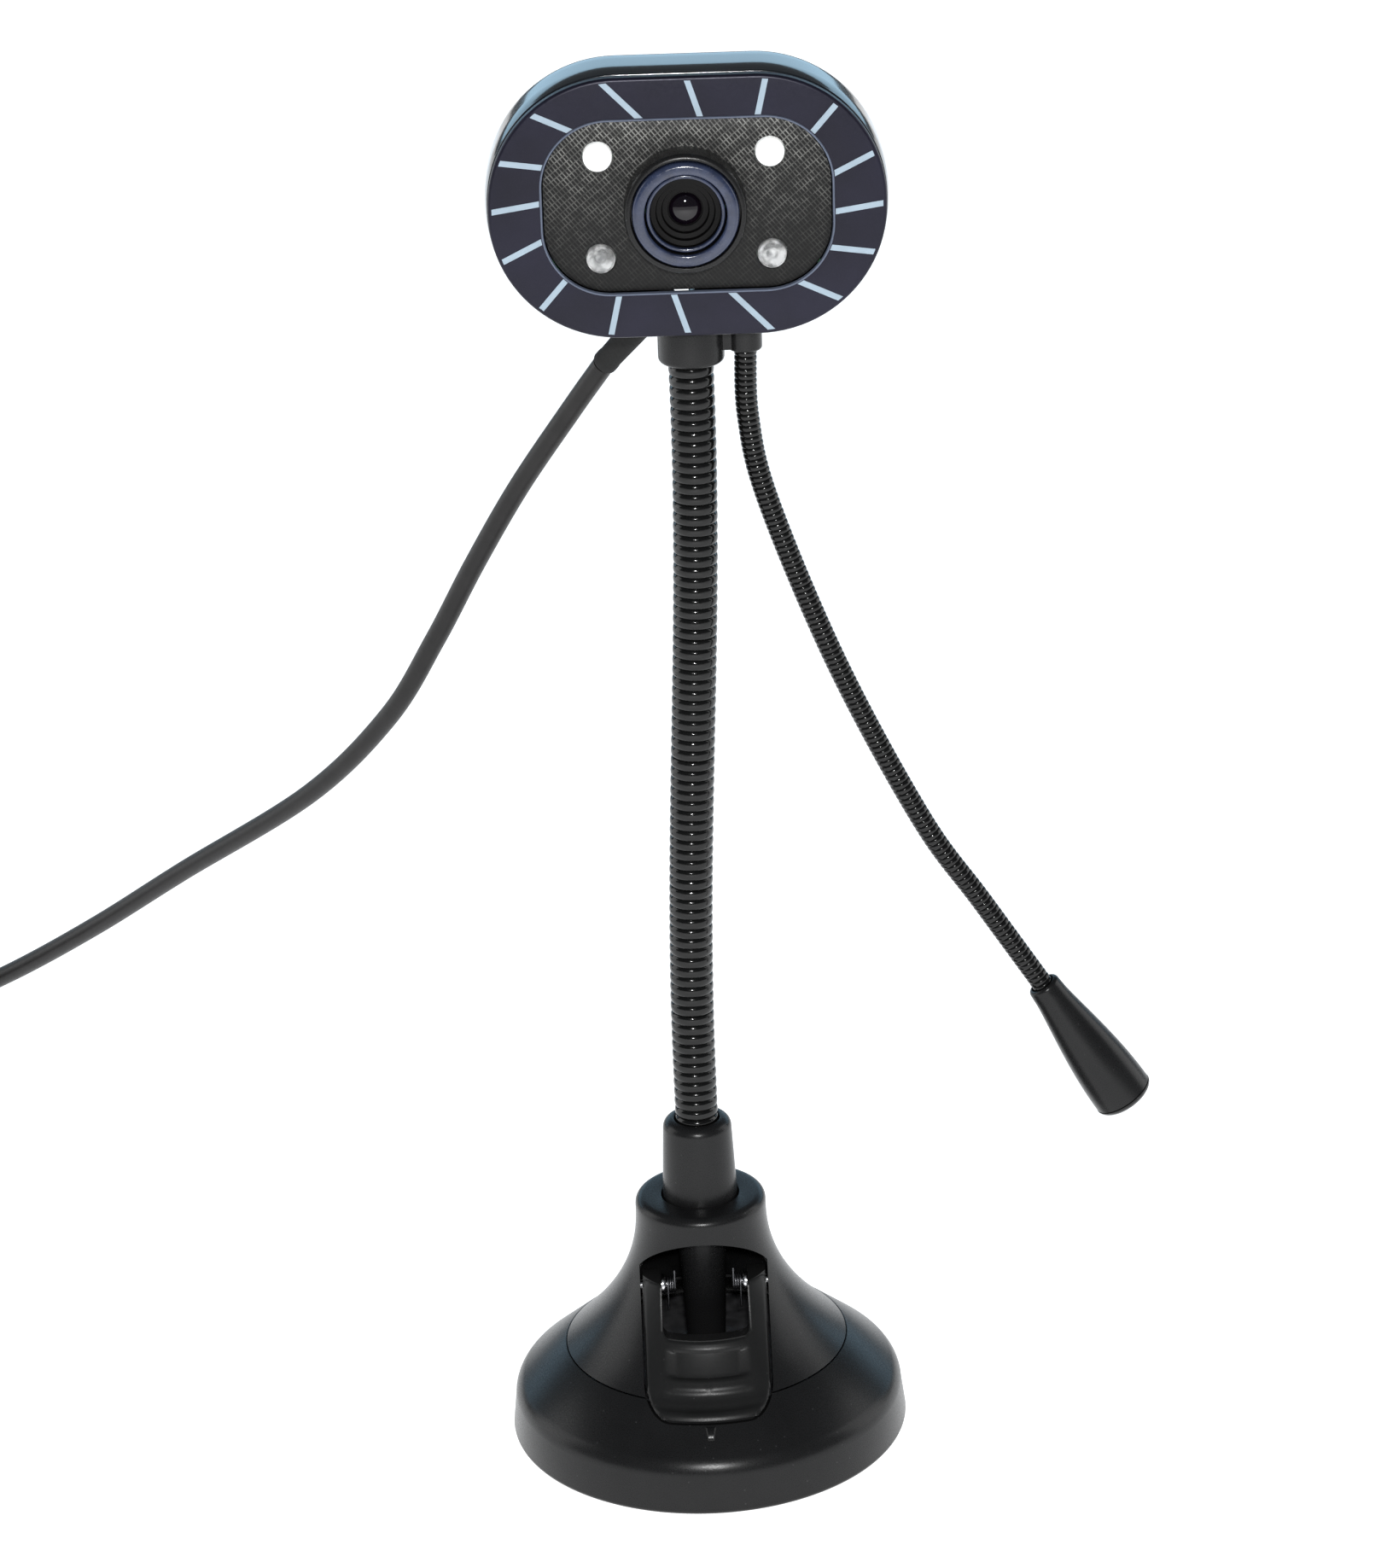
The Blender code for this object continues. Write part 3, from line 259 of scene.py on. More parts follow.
def satin_material():
    """Blue-grey lacquered frame with a fine metallic flake."""
    material, tree, shader, where = shader_of("satin_lacquer")
    flake = tree.nodes.new("ShaderNodeTexVoronoi")
    set_inputs(flake, Scale=6500.0)
    tree.links.new(where, flake.inputs["Vector"])
    tone = to_range(tree, noise(tree, where, 0.012, 2.0), 0, 1)
    base = mix_colours(tree, tone, (0.0045, 0.0042, 0.0085), (0.0085, 0.0080, 0.0170))
    glint = to_range(tree, flake.outputs["Distance"], 0.5, 0.0, 0.05, 0.30)
    tree.links.new(mix_colours(tree, glint, base, (0.026, 0.025, 0.042)), shader.inputs["Base Color"])
    tree.links.new(to_range(tree, noise(tree, where, 0.0004), 0.30, 0.40), shader.inputs["Roughness"])
    tree.links.new(bump(tree, flake.outputs["Distance"], 0.000004), shader.inputs["Normal"])
    set_inputs(shader, Specular_IOR_Level=0.28, Specular_Tint=(0.85, 0.85, 1.0, 1.0))
    return material


def board_material():
    """Green lacquered board with paler copper tracks under the lacquer."""
    material, tree, shader, where = shader_of("green_board")
    brick = tree.nodes.new("ShaderNodeTexBrick")
    mapping = tree.nodes.new("ShaderNodeMapping")
    mapping.inputs["Rotation"].default_value = (math.radians(90), 0, 0)
    set_inputs(brick, Scale=260.0, Mortar_Size=0.06, Color1=(0.010, 0.080, 0.030, 1),
               Color2=(0.014, 0.100, 0.040, 1), Mortar=(0.040, 0.190, 0.070, 1))
    tree.links.new(where, mapping.inputs["Vector"])
    tree.links.new(mapping.outputs["Vector"], brick.inputs["Vector"])
    tree.links.new(brick.outputs["Color"], shader.inputs["Base Color"])
    tree.links.new(to_range(tree, noise(tree, where, 0.001), 0.25, 0.4), shader.inputs["Roughness"])
    return material


def clear_material():
    """Clear moulded resin of the lights."""
    material, tree, shader, where = shader_of("clear_resin")
    tree.links.new(to_range(tree, noise(tree, where, 0.002), 0.02, 0.07), shader.inputs["Roughness"])
    tree.links.new(mix_colours(tree, to_range(tree, noise(tree, where, 0.003), 0, 1), (0.95, 0.97, 1.0),
                               (1.0, 1.0, 1.0)), shader.inputs["Base Color"])
    set_inputs(shader, Transmission_Weight=0.9, IOR=1.45)
    return material


def painted_glow_material(name, dark, strength):
    """White core of a light with a darker patch or two, with a painted glow in place of the light its dome catches.
    """
    material, tree, shader, where = shader_of(name)
    tone = to_range(tree, noise(tree, where, 0.0022, 2.0), 0, 1, 0.42, 0.58)
    tree.links.new(mix_colours(tree, tone, shaded((0.95, 1.0, 1.0), dark), (0.98, 0.98, 0.97)),
                   shader.inputs["Base Color"])
    tree.links.new(to_range(tree, noise(tree, where, 0.0006), 0.2, 0.4), shader.inputs["Roughness"])
    set_inputs(shader, Emission_Color=(1.0, 1.0, 0.98, 1.0), Emission_Strength=strength)
    return material


def glass_material():
    """Dark coated front element of the lens."""
    material, tree, shader, where = shader_of("coated_glass")
    tone = to_range(tree, noise(tree, where, 0.004), 0, 1)
    tree.links.new(mix_colours(tree, tone, (0.0020, 0.0012, 0.0030), (0.0040, 0.0022, 0.0040)),
                   shader.inputs["Base Color"])
    tree.links.new(to_range(tree, noise(tree, where, 0.001), 0.02, 0.05), shader.inputs["Roughness"])
    set_inputs(shader, Specular_IOR_Level=0.45)
    return material


def floor_material():
    material, tree, shader, where = shader_of("pale_floor")
    tone = to_range(tree, noise(tree, where, 0.6), 0, 1)
    tree.links.new(mix_colours(tree, tone, (0.90, 0.90, 0.90), (0.92, 0.92, 0.92)), shader.inputs["Base Color"])
    set_inputs(shader, Roughness=0.9, Emission_Color=(1, 1, 1, 1), Emission_Strength=0.85)
    return material


FACE_LOW = (LENS @ Vector((0, FACE_HALF[1], 0))).z
FACE_HIGH = (LENS @ Vector((0, -FACE_HALF[1], 0))).z
BLACK = moulded("black_plastic", (0.0085, 0.0085, 0.0088), 0.29, dust=0.12)
FLAP_BLACK = moulded("flap_plastic", (0.0105, 0.0105, 0.0105), 0.36, dust=0.1)
DARK = moulded("dark_plastic", (0.0030, 0.0028, 0.0028), 0.40, sheen=0.12)
NECK_BLACK = moulded("neck_coating", (0.0035, 0.0035, 0.0034), 0.15, spread=0.04, grain=0.0004, sheen=0.35)
CORD_BLACK = moulded("cord_sheath", (0.0110, 0.0100, 0.0100), 0.40, mottle=0.18, patch=0.004, grain=0.0005)
RUBBER = moulded("matt_rubber", (0.012, 0.012, 0.012), 0.75, relief=0.00003, grain=0.0004)
SHELL_GLOSS = moulded("gloss_shell", (0.0050, 0.0070, 0.0100), 0.12, relief=0.000002, spread=0.02, dust=0.08,
                      sheen=0.5, Coat_Weight=0.3, Coat_Roughness=0.05)
RING_GLOSS = moulded("gloss_ring", (0.022, 0.030, 0.062), 0.22, mottle=0.25, patch=0.002, grain=0.0005,
                     relief=0.00002, spread=0.08, sheen=0.4, Coat_Weight=0.4, Coat_Roughness=0.12)
LINE_PALE = moulded("pale_lines", (0.32, 0.40, 0.47), 0.42, mottle=0.06, patch=0.003)
# painted highlight: the lip's pale colour stands for the light line along its edge
LIP_PAINTED_HIGHLIGHT = moulded("lip_painted_highlight", (0.11, 0.13, 0.18), 0.45, mottle=0.1, patch=0.004)
STEEL = brushed("ground_steel", (0.78, 0.78, 0.80), 0.14)
SPRING_STEEL = brushed("spring_steel", (0.16, 0.16, 0.17), 0.3)
IRON = brushed("cast_weight", (0.22, 0.22, 0.23), 0.5, stretch=(3, 3, 3))
GOLD = brushed("gold_contact", (0.85, 0.62, 0.25), 0.2)
WHITE_PLASTIC = moulded("white_plastic", (0.75, 0.75, 0.73), 0.45)
FACE = face_material()
SATIN = satin_material()
BOARD = board_material()
CLEAR = clear_material()
# painted glow: the upper pair of cores glow far brighter than the lower pair
PAINTED_GLOW_UPPER = painted_glow_material("core_painted_glow_upper", 0.85, 0.8)
PAINTED_GLOW_LOWER = painted_glow_material("core_painted_glow_lower", 0.05, 0.10)
GLASS = glass_material()


# ================================================================ modelling helpers

def smooth(obj, sharp=38.0):
    obj.data.shade_smooth()
    obj.data.set_sharp_from_angle(angle=math.radians(sharp))


def build(name, verts, faces, material, place=None, sharp=38.0):
    """A mesh object with its faces turned outwards, its place in its points."""
    mesh = bpy.data.meshes.new(name)
    mesh.from_pydata([tuple(v) for v in verts], [], faces)
    bm = bmesh.new()
    bm.from_mesh(mesh)
    bmesh.ops.recalc_face_normals(bm, faces=bm.faces)
    bm.to_mesh(mesh)
    bm.free()
    if place is not None:
        mesh.transform(place)
    obj = bpy.data.objects.new(name, mesh)
    bpy.context.scene.collection.objects.link(obj)
    if material is not None:
        mesh.materials.append(material)
    smooth(obj, sharp)
    return obj


def rounded(corners, closed=False, steps=5):
    """A polyline of (u, v) or (u, v, radius) corners with its corners rounded."""
    points = []
    count = len(corners)
    for i, corner in enumerate(corners):
        p = Vector(corner[:2])
        radius = corner[2] if len(corner) > 2 else 0.0
        if radius == 0.0 or (not closed and i in (0, count - 1)):
            points.append((p.x, p.y))
            continue
        before = (Vector(corners[i - 1][:2]) - p).normalized()
        after = (Vector(corners[(i + 1) % count][:2]) - p).normalized()
        half = before.angle(after) / 2
        centre = p + (before + after).normalized() * (radius / math.sin(half))
        reach = radius / math.tan(half)
        first = p + before * reach - centre
        last = p + after * reach - centre
        start = math.atan2(first.y, first.x)
        turn = (math.atan2(last.y, last.x) - start + math.pi) % (2 * math.pi) - math.pi
        for k in range(steps + 1):
            a = start + turn * k / steps
            points.append((centre.x + radius * math.cos(a), centre.y + radius * math.sin(a)))
    return points


def lathe(name, outline, material=None, place=None, steps=96, sharp=38.0):
    """A closed (r, z) outline turned about Z; points on the axis become poles."""
    verts, rows = [], []
    for r, z in outline:
        if r < 1e-7:
            rows.append([len(verts)] * steps)
            verts.append((0, 0, z))
            continue
        rows.append(list(range(len(verts), len(verts) + steps)))
        verts += [(r * math.cos(2 * math.pi * k / steps), r * math.sin(2 * math.pi * k / steps), z)
                  for k in range(steps)]
    faces = []
    for a, b in zip(rows, rows[1:] + rows[:1]):
        for k in range(steps):
            m = (k + 1) % steps
            face = list(dict.fromkeys((a[k], a[m], b[m], b[k])))
            if len(face) > 2:
                faces.append(face)
    return build(name, verts, faces, material, place, sharp)


def loft(name, rings, material=None, loop=False, place=None, sharp=38.0):
    """Rings of equal count joined in order; ends are capped, or joined when loop is set."""
    count = len(rings[0])
    verts = [p for ring in rings for p in ring]
    faces = []
    for k in range(len(rings) if loop else len(rings) - 1):
        low, high = k * count, (k + 1) % len(rings) * count
        for i in range(count):
            j = (i + 1) % count
            faces.append((low + i, low + j, high + j, high + i))
    if not loop:
        faces.append(tuple(range(count)))
        faces.append(tuple((len(rings) - 1) * count + i for i in range(count)))
    return build(name, verts, faces, material, place, sharp)


def prism(name, outline, near, far, material=None, place=None, sharp=38.0):
    """An (x, z) outline drawn out along Y."""
    return loft(name, [[(x, y, z) for x, z in outline] for y in (near, far)], material, place=place, sharp=sharp)


def along_x(name, outline, near, far, material=None, place=None):
    """A (y, z) outline drawn out along X."""
    return loft(name, [[(x, y, z) for y, z in outline] for x in (near, far)], material, place=place)


def carve(obj, operation, *tools, sharp=38.0):
    """Joins or cuts with the tools, which are used up."""
    for tool in tools:
        modifier = obj.modifiers.new("carve", "BOOLEAN")
        modifier.operation = operation
        modifier.solver = "EXACT"
        modifier.object = tool
    bpy.context.view_layer.update()
    shape = obj.evaluated_get(bpy.context.evaluated_depsgraph_get())
    mesh = bpy.data.meshes.new_from_object(shape)
    obj.modifiers.clear()
    obj.data = mesh
    for tool in tools:
        bpy.data.objects.remove(tool, do_unlink=True)
    smooth(obj, sharp)
    return obj


def arc(centre, radius, start_deg, end_deg, steps):
    angles = [math.radians(start_deg + (end_deg - start_deg) * i / steps) for i in range(steps + 1)]
    return [(centre[0] + radius * math.cos(a), centre[1] + radius * math.sin(a)) for a in angles]


def superellipse(half, power, count=160):
    points = []
    for i in range(count):
        a = 2 * math.pi * (i + 0.5) / count
        x = math.copysign(abs(math.cos(a)) ** (2 / power), math.cos(a))
        z = math.copysign(abs(math.sin(a)) ** (2 / power), math.sin(a))
        points.append((half[0] * x, half[1] * z))
    return points


def oblong(half, corner, y, shrink=0.0, rise=0.0, steps=24):
    """Ring of an oblong with round corners, drawn in evenly by an amount."""
    points = []
    across, up = half[0] - corner, half[1] - corner
    for x, z, start in ((across, up, 0), (-across, up, 90), (-across, -up, 180), (across, -up, 270)):
        points += arc((x, z), corner - shrink, start, start + 90, steps)
    return [(x, y, z + rise) for x, z in points]


def case_ring(y, shrink=0.0):
    return oblong(HEAD_HALF, HEAD_CORNER_R, y, shrink)


def face_ring(y, shrink=0.0):
    return oblong(FACE_HALF, FACE_CORNER_R, y, shrink, FACE_RISE)


def smooth_path(route, step):
    """Evenly spaced points on the Catmull-Rom curve through a route."""
    knots = [Vector(p) for p in route]
    knots = [2 * knots[0] - knots[1]] + knots + [2 * knots[-1] - knots[-2]]
    fine = []
    for a, b, c, d in zip(knots, knots[1:], knots[2:], knots[3:]):
        for i in range(40):
            t = i / 40
            fine.append(0.5 * (2 * b + (c - a) * t + (2 * a - 5 * b + 4 * c - d) * t * t
                               + (3 * b - 3 * c + d - a) * t ** 3))
    fine.append(knots[-2])
    lengths = [0.0]
    for a, b in zip(fine, fine[1:]):
        lengths.append(lengths[-1] + (b - a).length)
    count = max(2, round(lengths[-1] / step))
    points, index = [], 0
    for i in range(count + 1):
        target = lengths[-1] * i / count
        while index < len(fine) - 2 and lengths[index + 1] < target:
            index += 1
        share = (target - lengths[index]) / (lengths[index + 1] - lengths[index])
        points.append(fine[index].lerp(fine[index + 1], min(share, 1.0)))
    return points


def frames_along(points, side=(0, 1, 0)):
    """Each point with two directions across the line, carried along without twist."""
    across = Vector(side)
    frames = []
    for i, p in enumerate(points):
        ahead = points[min(i + 1, len(points) - 1)] - points[max(i - 1, 0)]
        ahead.normalize()
        across = (across - ahead * across.dot(ahead)).normalized()
        frames.append((p, across.copy(), ahead.cross(across)))
    return frames


def tube(name, frames, radii, sides, material, sharp=50.0):
    """A round closed tube through frames with a radius at each."""
    rings = []
    for (p, u, v), r in zip(frames, radii):
        rings.append([p + (u * math.cos(2 * math.pi * k / sides) + v * math.sin(2 * math.pi * k / sides)) * r
                      for k in range(sides)])
    return loft(name, rings, material, sharp=sharp)


def bend(obj, first, second, start, end):
    """Swaps the two bodies where the pair is listed, then bakes the piece's place into its mesh."""
    if (first, second) in SWAPPED:
        first, second, start, end = second, first, end, start
    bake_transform(obj)


def finish(obj, body, slot, *nodes):
    """Rides on a body and hides the CAD nodes it stands for; the slot is not used."""
    if body:
        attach(obj, body)
    if nodes:
        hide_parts(*nodes)
    return obj


# ================================================================ camera, light and floor

def add_camera():
    pitch, yaw, roll = CAMERA_PITCH, CAMERA_YAW, CAMERA_ROLL
    ahead = Vector((math.sin(yaw) * math.cos(pitch), math.cos(yaw) * math.cos(pitch), -math.sin(pitch)))
    right = Vector((math.cos(yaw), -math.sin(yaw), 0))
    up = right.cross(ahead)
    side = right * math.cos(roll) + up * math.sin(roll)
    top = up * math.cos(roll) - right * math.sin(roll)
    camera = bpy.data.objects.new("camera", bpy.data.cameras.new("camera"))
    bpy.context.scene.collection.objects.link(camera)
    rotation = Matrix((side, top, -ahead)).transposed().to_4x4()
    camera.matrix_world = Matrix.Translation(CAMERA_AT) @ rotation
    camera.data.lens = CAMERA_LENS
    camera.data.clip_start = 0.01
    camera.data.clip_end = 50.0
    bpy.context.scene.camera = camera


def add_light(name, at, target, size, power, colour=(1, 1, 1)):
    light = bpy.data.objects.new(name, bpy.data.lights.new(name, "AREA"))
    bpy.context.scene.collection.objects.link(light)
    light.data.shape = "RECTANGLE"
    light.data.size, light.data.size_y = size
    light.data.energy = power
    light.data.color = colour
    light.location = at
    light.rotation_mode = "QUATERNION"
    light.rotation_quaternion = (Vector(target) - Vector(at)).to_track_quat("-Z", "Y")


def add_stage():
    scene = bpy.context.scene
    scene.view_settings.view_transform = "Standard"
    world = bpy.data.worlds.new("studio")
    scene.world = world
    world.use_nodes = True
    background = world.node_tree.nodes["Background"]
    background.inputs["Color"].default_value = (0.85, 0.93, 1.0, 1)
    background.inputs["Strength"].default_value = 0.14
    middle = (0.0, 0.0, 0.13)
    add_light("back_box", (0.0, 1.6, 0.52), (0, 0, 0.24), (4.0, 0.5), 9.0, (0.50, 0.78, 1.0))
    add_light("left_box", (-1.3, 0.3, 0.50), middle, (0.8, 1.0), 4.5)
    add_light("right_box", (1.3, 0.3, 0.50), middle, (0.8, 1.0), 4.5)
    add_light("front_lamp", (0.01, -0.85, 0.53), (0, 0, 0.13), (0.035, 0.035), 6.5)
    floor = build("floor", [(-3, -3, 0), (3, -3, 0), (3, 3, 0), (-3, 3, 0)], [(0, 1, 2, 3)], floor_material())


add_camera()
add_stage()


# ================================================================ cord

def coil_points():
    """Seven and a quarter turns in three layers, each change of turn in its own quarter of the ring."""
    inner, middle, outer = COIL_RADII
    low, mid, high = COIL_LEVELS
    # (angle in degrees, radius, height); the winding starts at 90 and turns anticlockwise
    stops = [(90, outer, low), (340, outer, low), (400, middle, low), (700, middle, low), (760, inner, low),
             (1000, inner, low), (1060, inner, mid), (1300, inner, mid), (1360, middle, mid),
             (1660, middle, mid), (1720, outer, mid), (1960, outer, mid), (2020, outer, high),
             (2240, outer, high), (2300, middle, high), (2700, middle, high)]
    points = []
    for (a0, r0, z0), (a1, r1, z1) in zip(stops, stops[1:]):
        count = max(4, round((a1 - a0) / 15))
        for i in range(count):
            t = i / count
            ease = t * t * (3 - 2 * t)
            a = math.radians(a0 + (a1 - a0) * t)
            r = r0 + (r1 - r0) * ease
            points.append((COIL_CENTRE[0] + r * math.cos(a), COIL_CENTRE[1] + r * math.sin(a),
                           z0 + (z1 - z0) * ease))
    return points


CORD_SPLITS = (0.036, 0.070, 0.106, 0.146, 0.190, 0.246)   # lengths at which one stretch hands over to the next


def add_cord():
    """The cord from its sleeve to its plug: six stretches down from the head, and the rest on the floor."""
    route = CORD_ROUTE + tuple(coil_points()) + TAIL_ROUTE
    step = 0.0015
    points = smooth_path(route, step)
    frames = frames_along(points, (0, 0, 1))
    spacing = (points[1] - points[0]).length
    cuts = [0] + [round(length / spacing) for length in CORD_SPLITS] + [len(points) - 1]
    plug = add_plug()
    tie = add_tie()
    bodies = NECK_BODIES[::-1]
    for k, (first, last) in enumerate(zip(cuts, cuts[1:])):
        piece = frames[first:last + 1]
        line = points[first:last + 1]
        free = k == len(cuts) - 2
        name = "cord_to_plug" if free else f"cord_{k + 1}"
        obj = tube(name, piece, [CORD_D / 2] * len(piece), 20, CORD_BLACK)
        if free:
            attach(obj, "base")
            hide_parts("usb_cord", "cord_coil", "usb_cord_tail")
        else:
            bend(obj, bodies[k], bodies[k + 1], line[0], line[-1])


def add_tie():
    """A soft strap over the coil on its near side."""
    r_in, r_out = COIL_RADII[0] - CORD_D / 2, COIL_RADII[2] + CORD_D / 2
    inner = (math.sqrt(r_in ** 2 - 0.0040 ** 2) - GAP, r_out + GAP, 0.0120 + GAP)
    thick = 0.0008
    bottom = 0.0003
    outline = rounded([
        (-inner[0] + thick, bottom), (-inner[0] + thick, inner[2] + thick, 0.0022),
        (-inner[1] - thick, inner[2] + thick, 0.0022), (-inner[1] - thick, bottom),
        (-inner[1], bottom), (-inner[1], inner[2], 0.0014), (-inner[0], inner[2], 0.0014), (-inner[0], bottom),
    ], closed=True, steps=6)
    strap = along_x("cord_strap", outline, -0.0040, 0.0040, RUBBER, Matrix.Translation((*COIL_CENTRE, 0)))
    return finish(strap, "base", "rubber", "cord_tie")


def add_plug():
    """Moulded plug body with grip grooves, steel shell with its two windows, tongue and contacts."""
    near, far = PLUG_Y
    place = Matrix.Translation((PLUG_X, 0, PLUG_Z))
    profile = [(near, 0.0052), (near - 0.0006, 0.0046), (near - 0.0030, 0.0034), (near - 0.0052, 0.0012)]
    y = near - 0.0070
    for _ in range(5):
        profile += [(y, 0.0001), (y - 0.0003, 0.0006), (y - 0.0008, 0.0006), (y - 0.0011, 0.0001)]
        y -= 0.0020
    profile += [(far + 0.0006, 0.0), (far + 0.0001, 0.0003), (far, 0.0010)]
    rings = [[(x, y, z) for x, z in superellipse((PLUG_HALF[0] - s, PLUG_HALF[1] - s * 0.55), 5, 64)]
             for y, s in profile]
    body = finish(loft("plug_body", rings, BLACK, place=place), "base", "black_plastic", "usb_plug_body")
    tip = far - PLUG_SHELL_LENGTH
    outer = superellipse(PLUG_SHELL_HALF, 14, 64)
    inner = superellipse((PLUG_SHELL_HALF[0] - 0.0003, PLUG_SHELL_HALF[1] - 0.0003), 14, 64)
    rings = [[(x, y, z) for x, z in loop] for loop, y in
             ((inner, far - 0.0010), (inner, tip + 0.0001), (outer, tip + 0.0001), (outer, far - GAP))]
    shell = loft("plug_shell", rings, STEEL, place=place)
    windows = [prism("window", [(x - 0.0012, -0.0040), (x + 0.0012, -0.0040), (x + 0.0012, 0.0040),
                                (x - 0.0012, 0.0040)], tip + 0.0048, tip + 0.0070, place=place)
               for x in (-0.0026, 0.0026)]
    carve(shell, "DIFFERENCE", *windows)
    finish(shell, "base", "steel", "usb_plug_shell")
    tongue = prism("plug_tongue", [(-0.0054, -0.0018), (0.0054, -0.0018), (0.0054, 0.0001), (-0.0054, 0.0001)],
                   far - 0.0012, tip + 0.0006, WHITE_PLASTIC, place)
    finish(tongue, "base", "black_plastic")
    pieces = [body, shell, tongue]
    for i in range(4):
        x = -0.0036 + 0.0024 * i
        contact = prism(f"plug_contact_{i + 1}", [(x - 0.0005, 0.0001), (x + 0.0005, 0.0001),
                                                 (x + 0.0005, 0.0003), (x - 0.0005, 0.0003)],
                        far - 0.0020, tip + 0.0012, GOLD, place)
        pieces.append(finish(contact, "base", "steel"))
    return pieces


def add_sleeve():
    """Tapered strain relief with a small collar where it leaves the case."""
    start, end = Vector(SLEEVE_START), Vector(SLEEVE_END)
    length = (end - start).length
    place = Matrix.Translation(start) @ (end - start).to_track_quat("Z", "Y").to_matrix().to_4x4()
    wide, slim = SLEEVE_R
    outline = rounded([(0, 0), (wide, 0), (wide, 0.0060, 0.0006), (wide - 0.0001, 0.0066),
                       (slim + 0.0001, length - 0.0020), (slim + 0.0002, length - 0.0016),
                       (slim + 0.0002, length, 0.0003), (0, length)], steps=4)
    finish(lathe("strain_relief", outline, RUBBER, place, 48), "head", "rubber", "cord_sleeve")


add_cord()
add_sleeve()


# ================================================================ base

def seam_point():
    """Radius and height of the seam, where the ring's slope is tangent to its shoulder."""
    normal = math.radians(90 - SLOPE_DEG)
    edge_r = BASE_R - RIM_DRAFT - SHOULDER_R + SHOULDER_R * math.cos(normal)
    edge_z = RIM_TOP_Z + SHOULDER_R * math.sin(normal)
    return edge_z + (edge_r - SEAM_R) * math.tan(math.radians(SLOPE_DEG))


SEAM_Z = seam_point()


def skin_radius(z):
    """Outer radius of the base at a height, down the bell and on down the ring's slope."""
    if z < SEAM_Z:
        return SEAM_R + (SEAM_Z - z) / math.tan(math.radians(SLOPE_DEG))
    share = max(0.0, (BELL_FLARE_Z - z) / (BELL_FLARE_Z - SEAM_Z))
    return BELL_NECK_R + (SEAM_R - SEAM_GAP - BELL_NECK_R) * share ** BELL_FLARE_POWER


def clip_outline(grow=0.0):
    """Front view of the flap with its slot, or of the window it sits in when grown."""
    half, low, r = CLIP_HALF_W + grow, CLIP_BOTTOM_Z - grow, CLIP_CORNER_R + grow
    right = arc((half - r, low + r), r, -90, 0, 10)
    left = [(-x, z) for x, z in reversed(right)]
    if grow:
        rise = WINDOW_TOP_Z - WINDOW_SPRING_Z
        radius = (half ** 2 + rise ** 2) / (2 * rise)
        span = math.degrees(math.asin(half / radius))
        return left + right + arc((0, WINDOW_TOP_Z - radius), radius, 90 - span, 90 + span, 36)
    s = CLIP_SLOT_CORNER_R
    slot_right = arc((CLIP_SLOT_HALF_W - s, CLIP_SLOT_Z + s), s, 0, -90, 6)
    slot_left = [(-x, z) for x, z in reversed(slot_right)]
    corner = 0.0012
    top_right = (arc((half - corner, ARM_TOP_Z - corner), corner, 0, 90, 5)
                 + arc((CLIP_SLOT_HALF_W + 0.0004, ARM_TOP_Z - 0.0004), 0.0004, 90, 180, 3))
    top_left = [(-x, z) for x, z in reversed(top_right)]
    return left + right + top_right + slot_right + slot_left + top_left


def edge_distance(x, z, outline):
    """How far a point of the front view is from an outline."""
    p = Vector((x, z))
    best = 1.0
    for a, b in zip(outline, outline[1:] + outline[:1]):
        a, b = Vector(a), Vector(b)
        t = max(0.0, min(1.0, (p - a).dot(b - a) / max((b - a).length_squared, 1e-12)))
        best = min(best, (a.lerp(b, t) - p).length)
    return best


def band(value, low, high, soft):
    """1 between low and high, falling to 0 over a soft width outside."""
    def step(t):
        t = max(0.0, min(1.0, t))
        return t * t * (3 - 2 * t)
    return step((value - low) / soft + 1) * step((high - value) / soft + 1)


def add_ring():
    """Outer ring of the base with its rounded shoulder, the window for the flap and the small rib."""
    slope = math.radians(SLOPE_DEG)
    normal = math.radians(90) - slope
    centre = (BASE_R - RIM_DRAFT - SHOULDER_R, RIM_TOP_Z)
    outer = rounded([(SEAM_R - WALL * math.cos(normal), SEAM_Z - WALL * math.sin(normal)), (SEAM_R, SEAM_Z, 0.00015),
                     (centre[0] + SHOULDER_R * math.cos(normal), centre[1] + SHOULDER_R * math.sin(normal))],
                    steps=3)[:-1]
    outer += arc(centre, SHOULDER_R, 90 - SLOPE_DEG, 0, 14)
    outer += arc((BASE_R - FOOT_ARC_R, RING_BOTTOM_Z + FOOT_ARC_R), FOOT_ARC_R, 0, -90, 6)
    inner = [(BASE_R - WALL - RIM_DRAFT, RING_BOTTOM_Z)]
    inner += arc(centre, SHOULDER_R - WALL, 0, 90 - SLOPE_DEG, 6)
    ring = lathe("outer_ring", outer + inner, BLACK, steps=192)
    window = prism("window", clip_outline(CLIP_CLEARANCE), -0.0450, -0.0030)
    carve(ring, "DIFFERENCE", window)
    finish(ring, "base", "black_plastic", "base_ring")
    middle = SEAM_R + 0.0046
    rib = [(-0.0010, 0.0013), (0.0010, 0.0013), (0.0006, -0.0013), (-0.0006, -0.0013)]
    rings = [[(x * s, y * s, h) for x, y in rib] for h, s in ((-0.0006, 1.0), (0.0002, 1.0), (0.0005, 0.7))]
    place = (Matrix.Translation((0, -middle, SEAM_Z - (middle - SEAM_R) * math.tan(slope)))
             @ Matrix.Rotation(slope, 4, "X"))
    finish(loft("ring_rib", rings, BLACK, place=place), "base", "black_plastic")


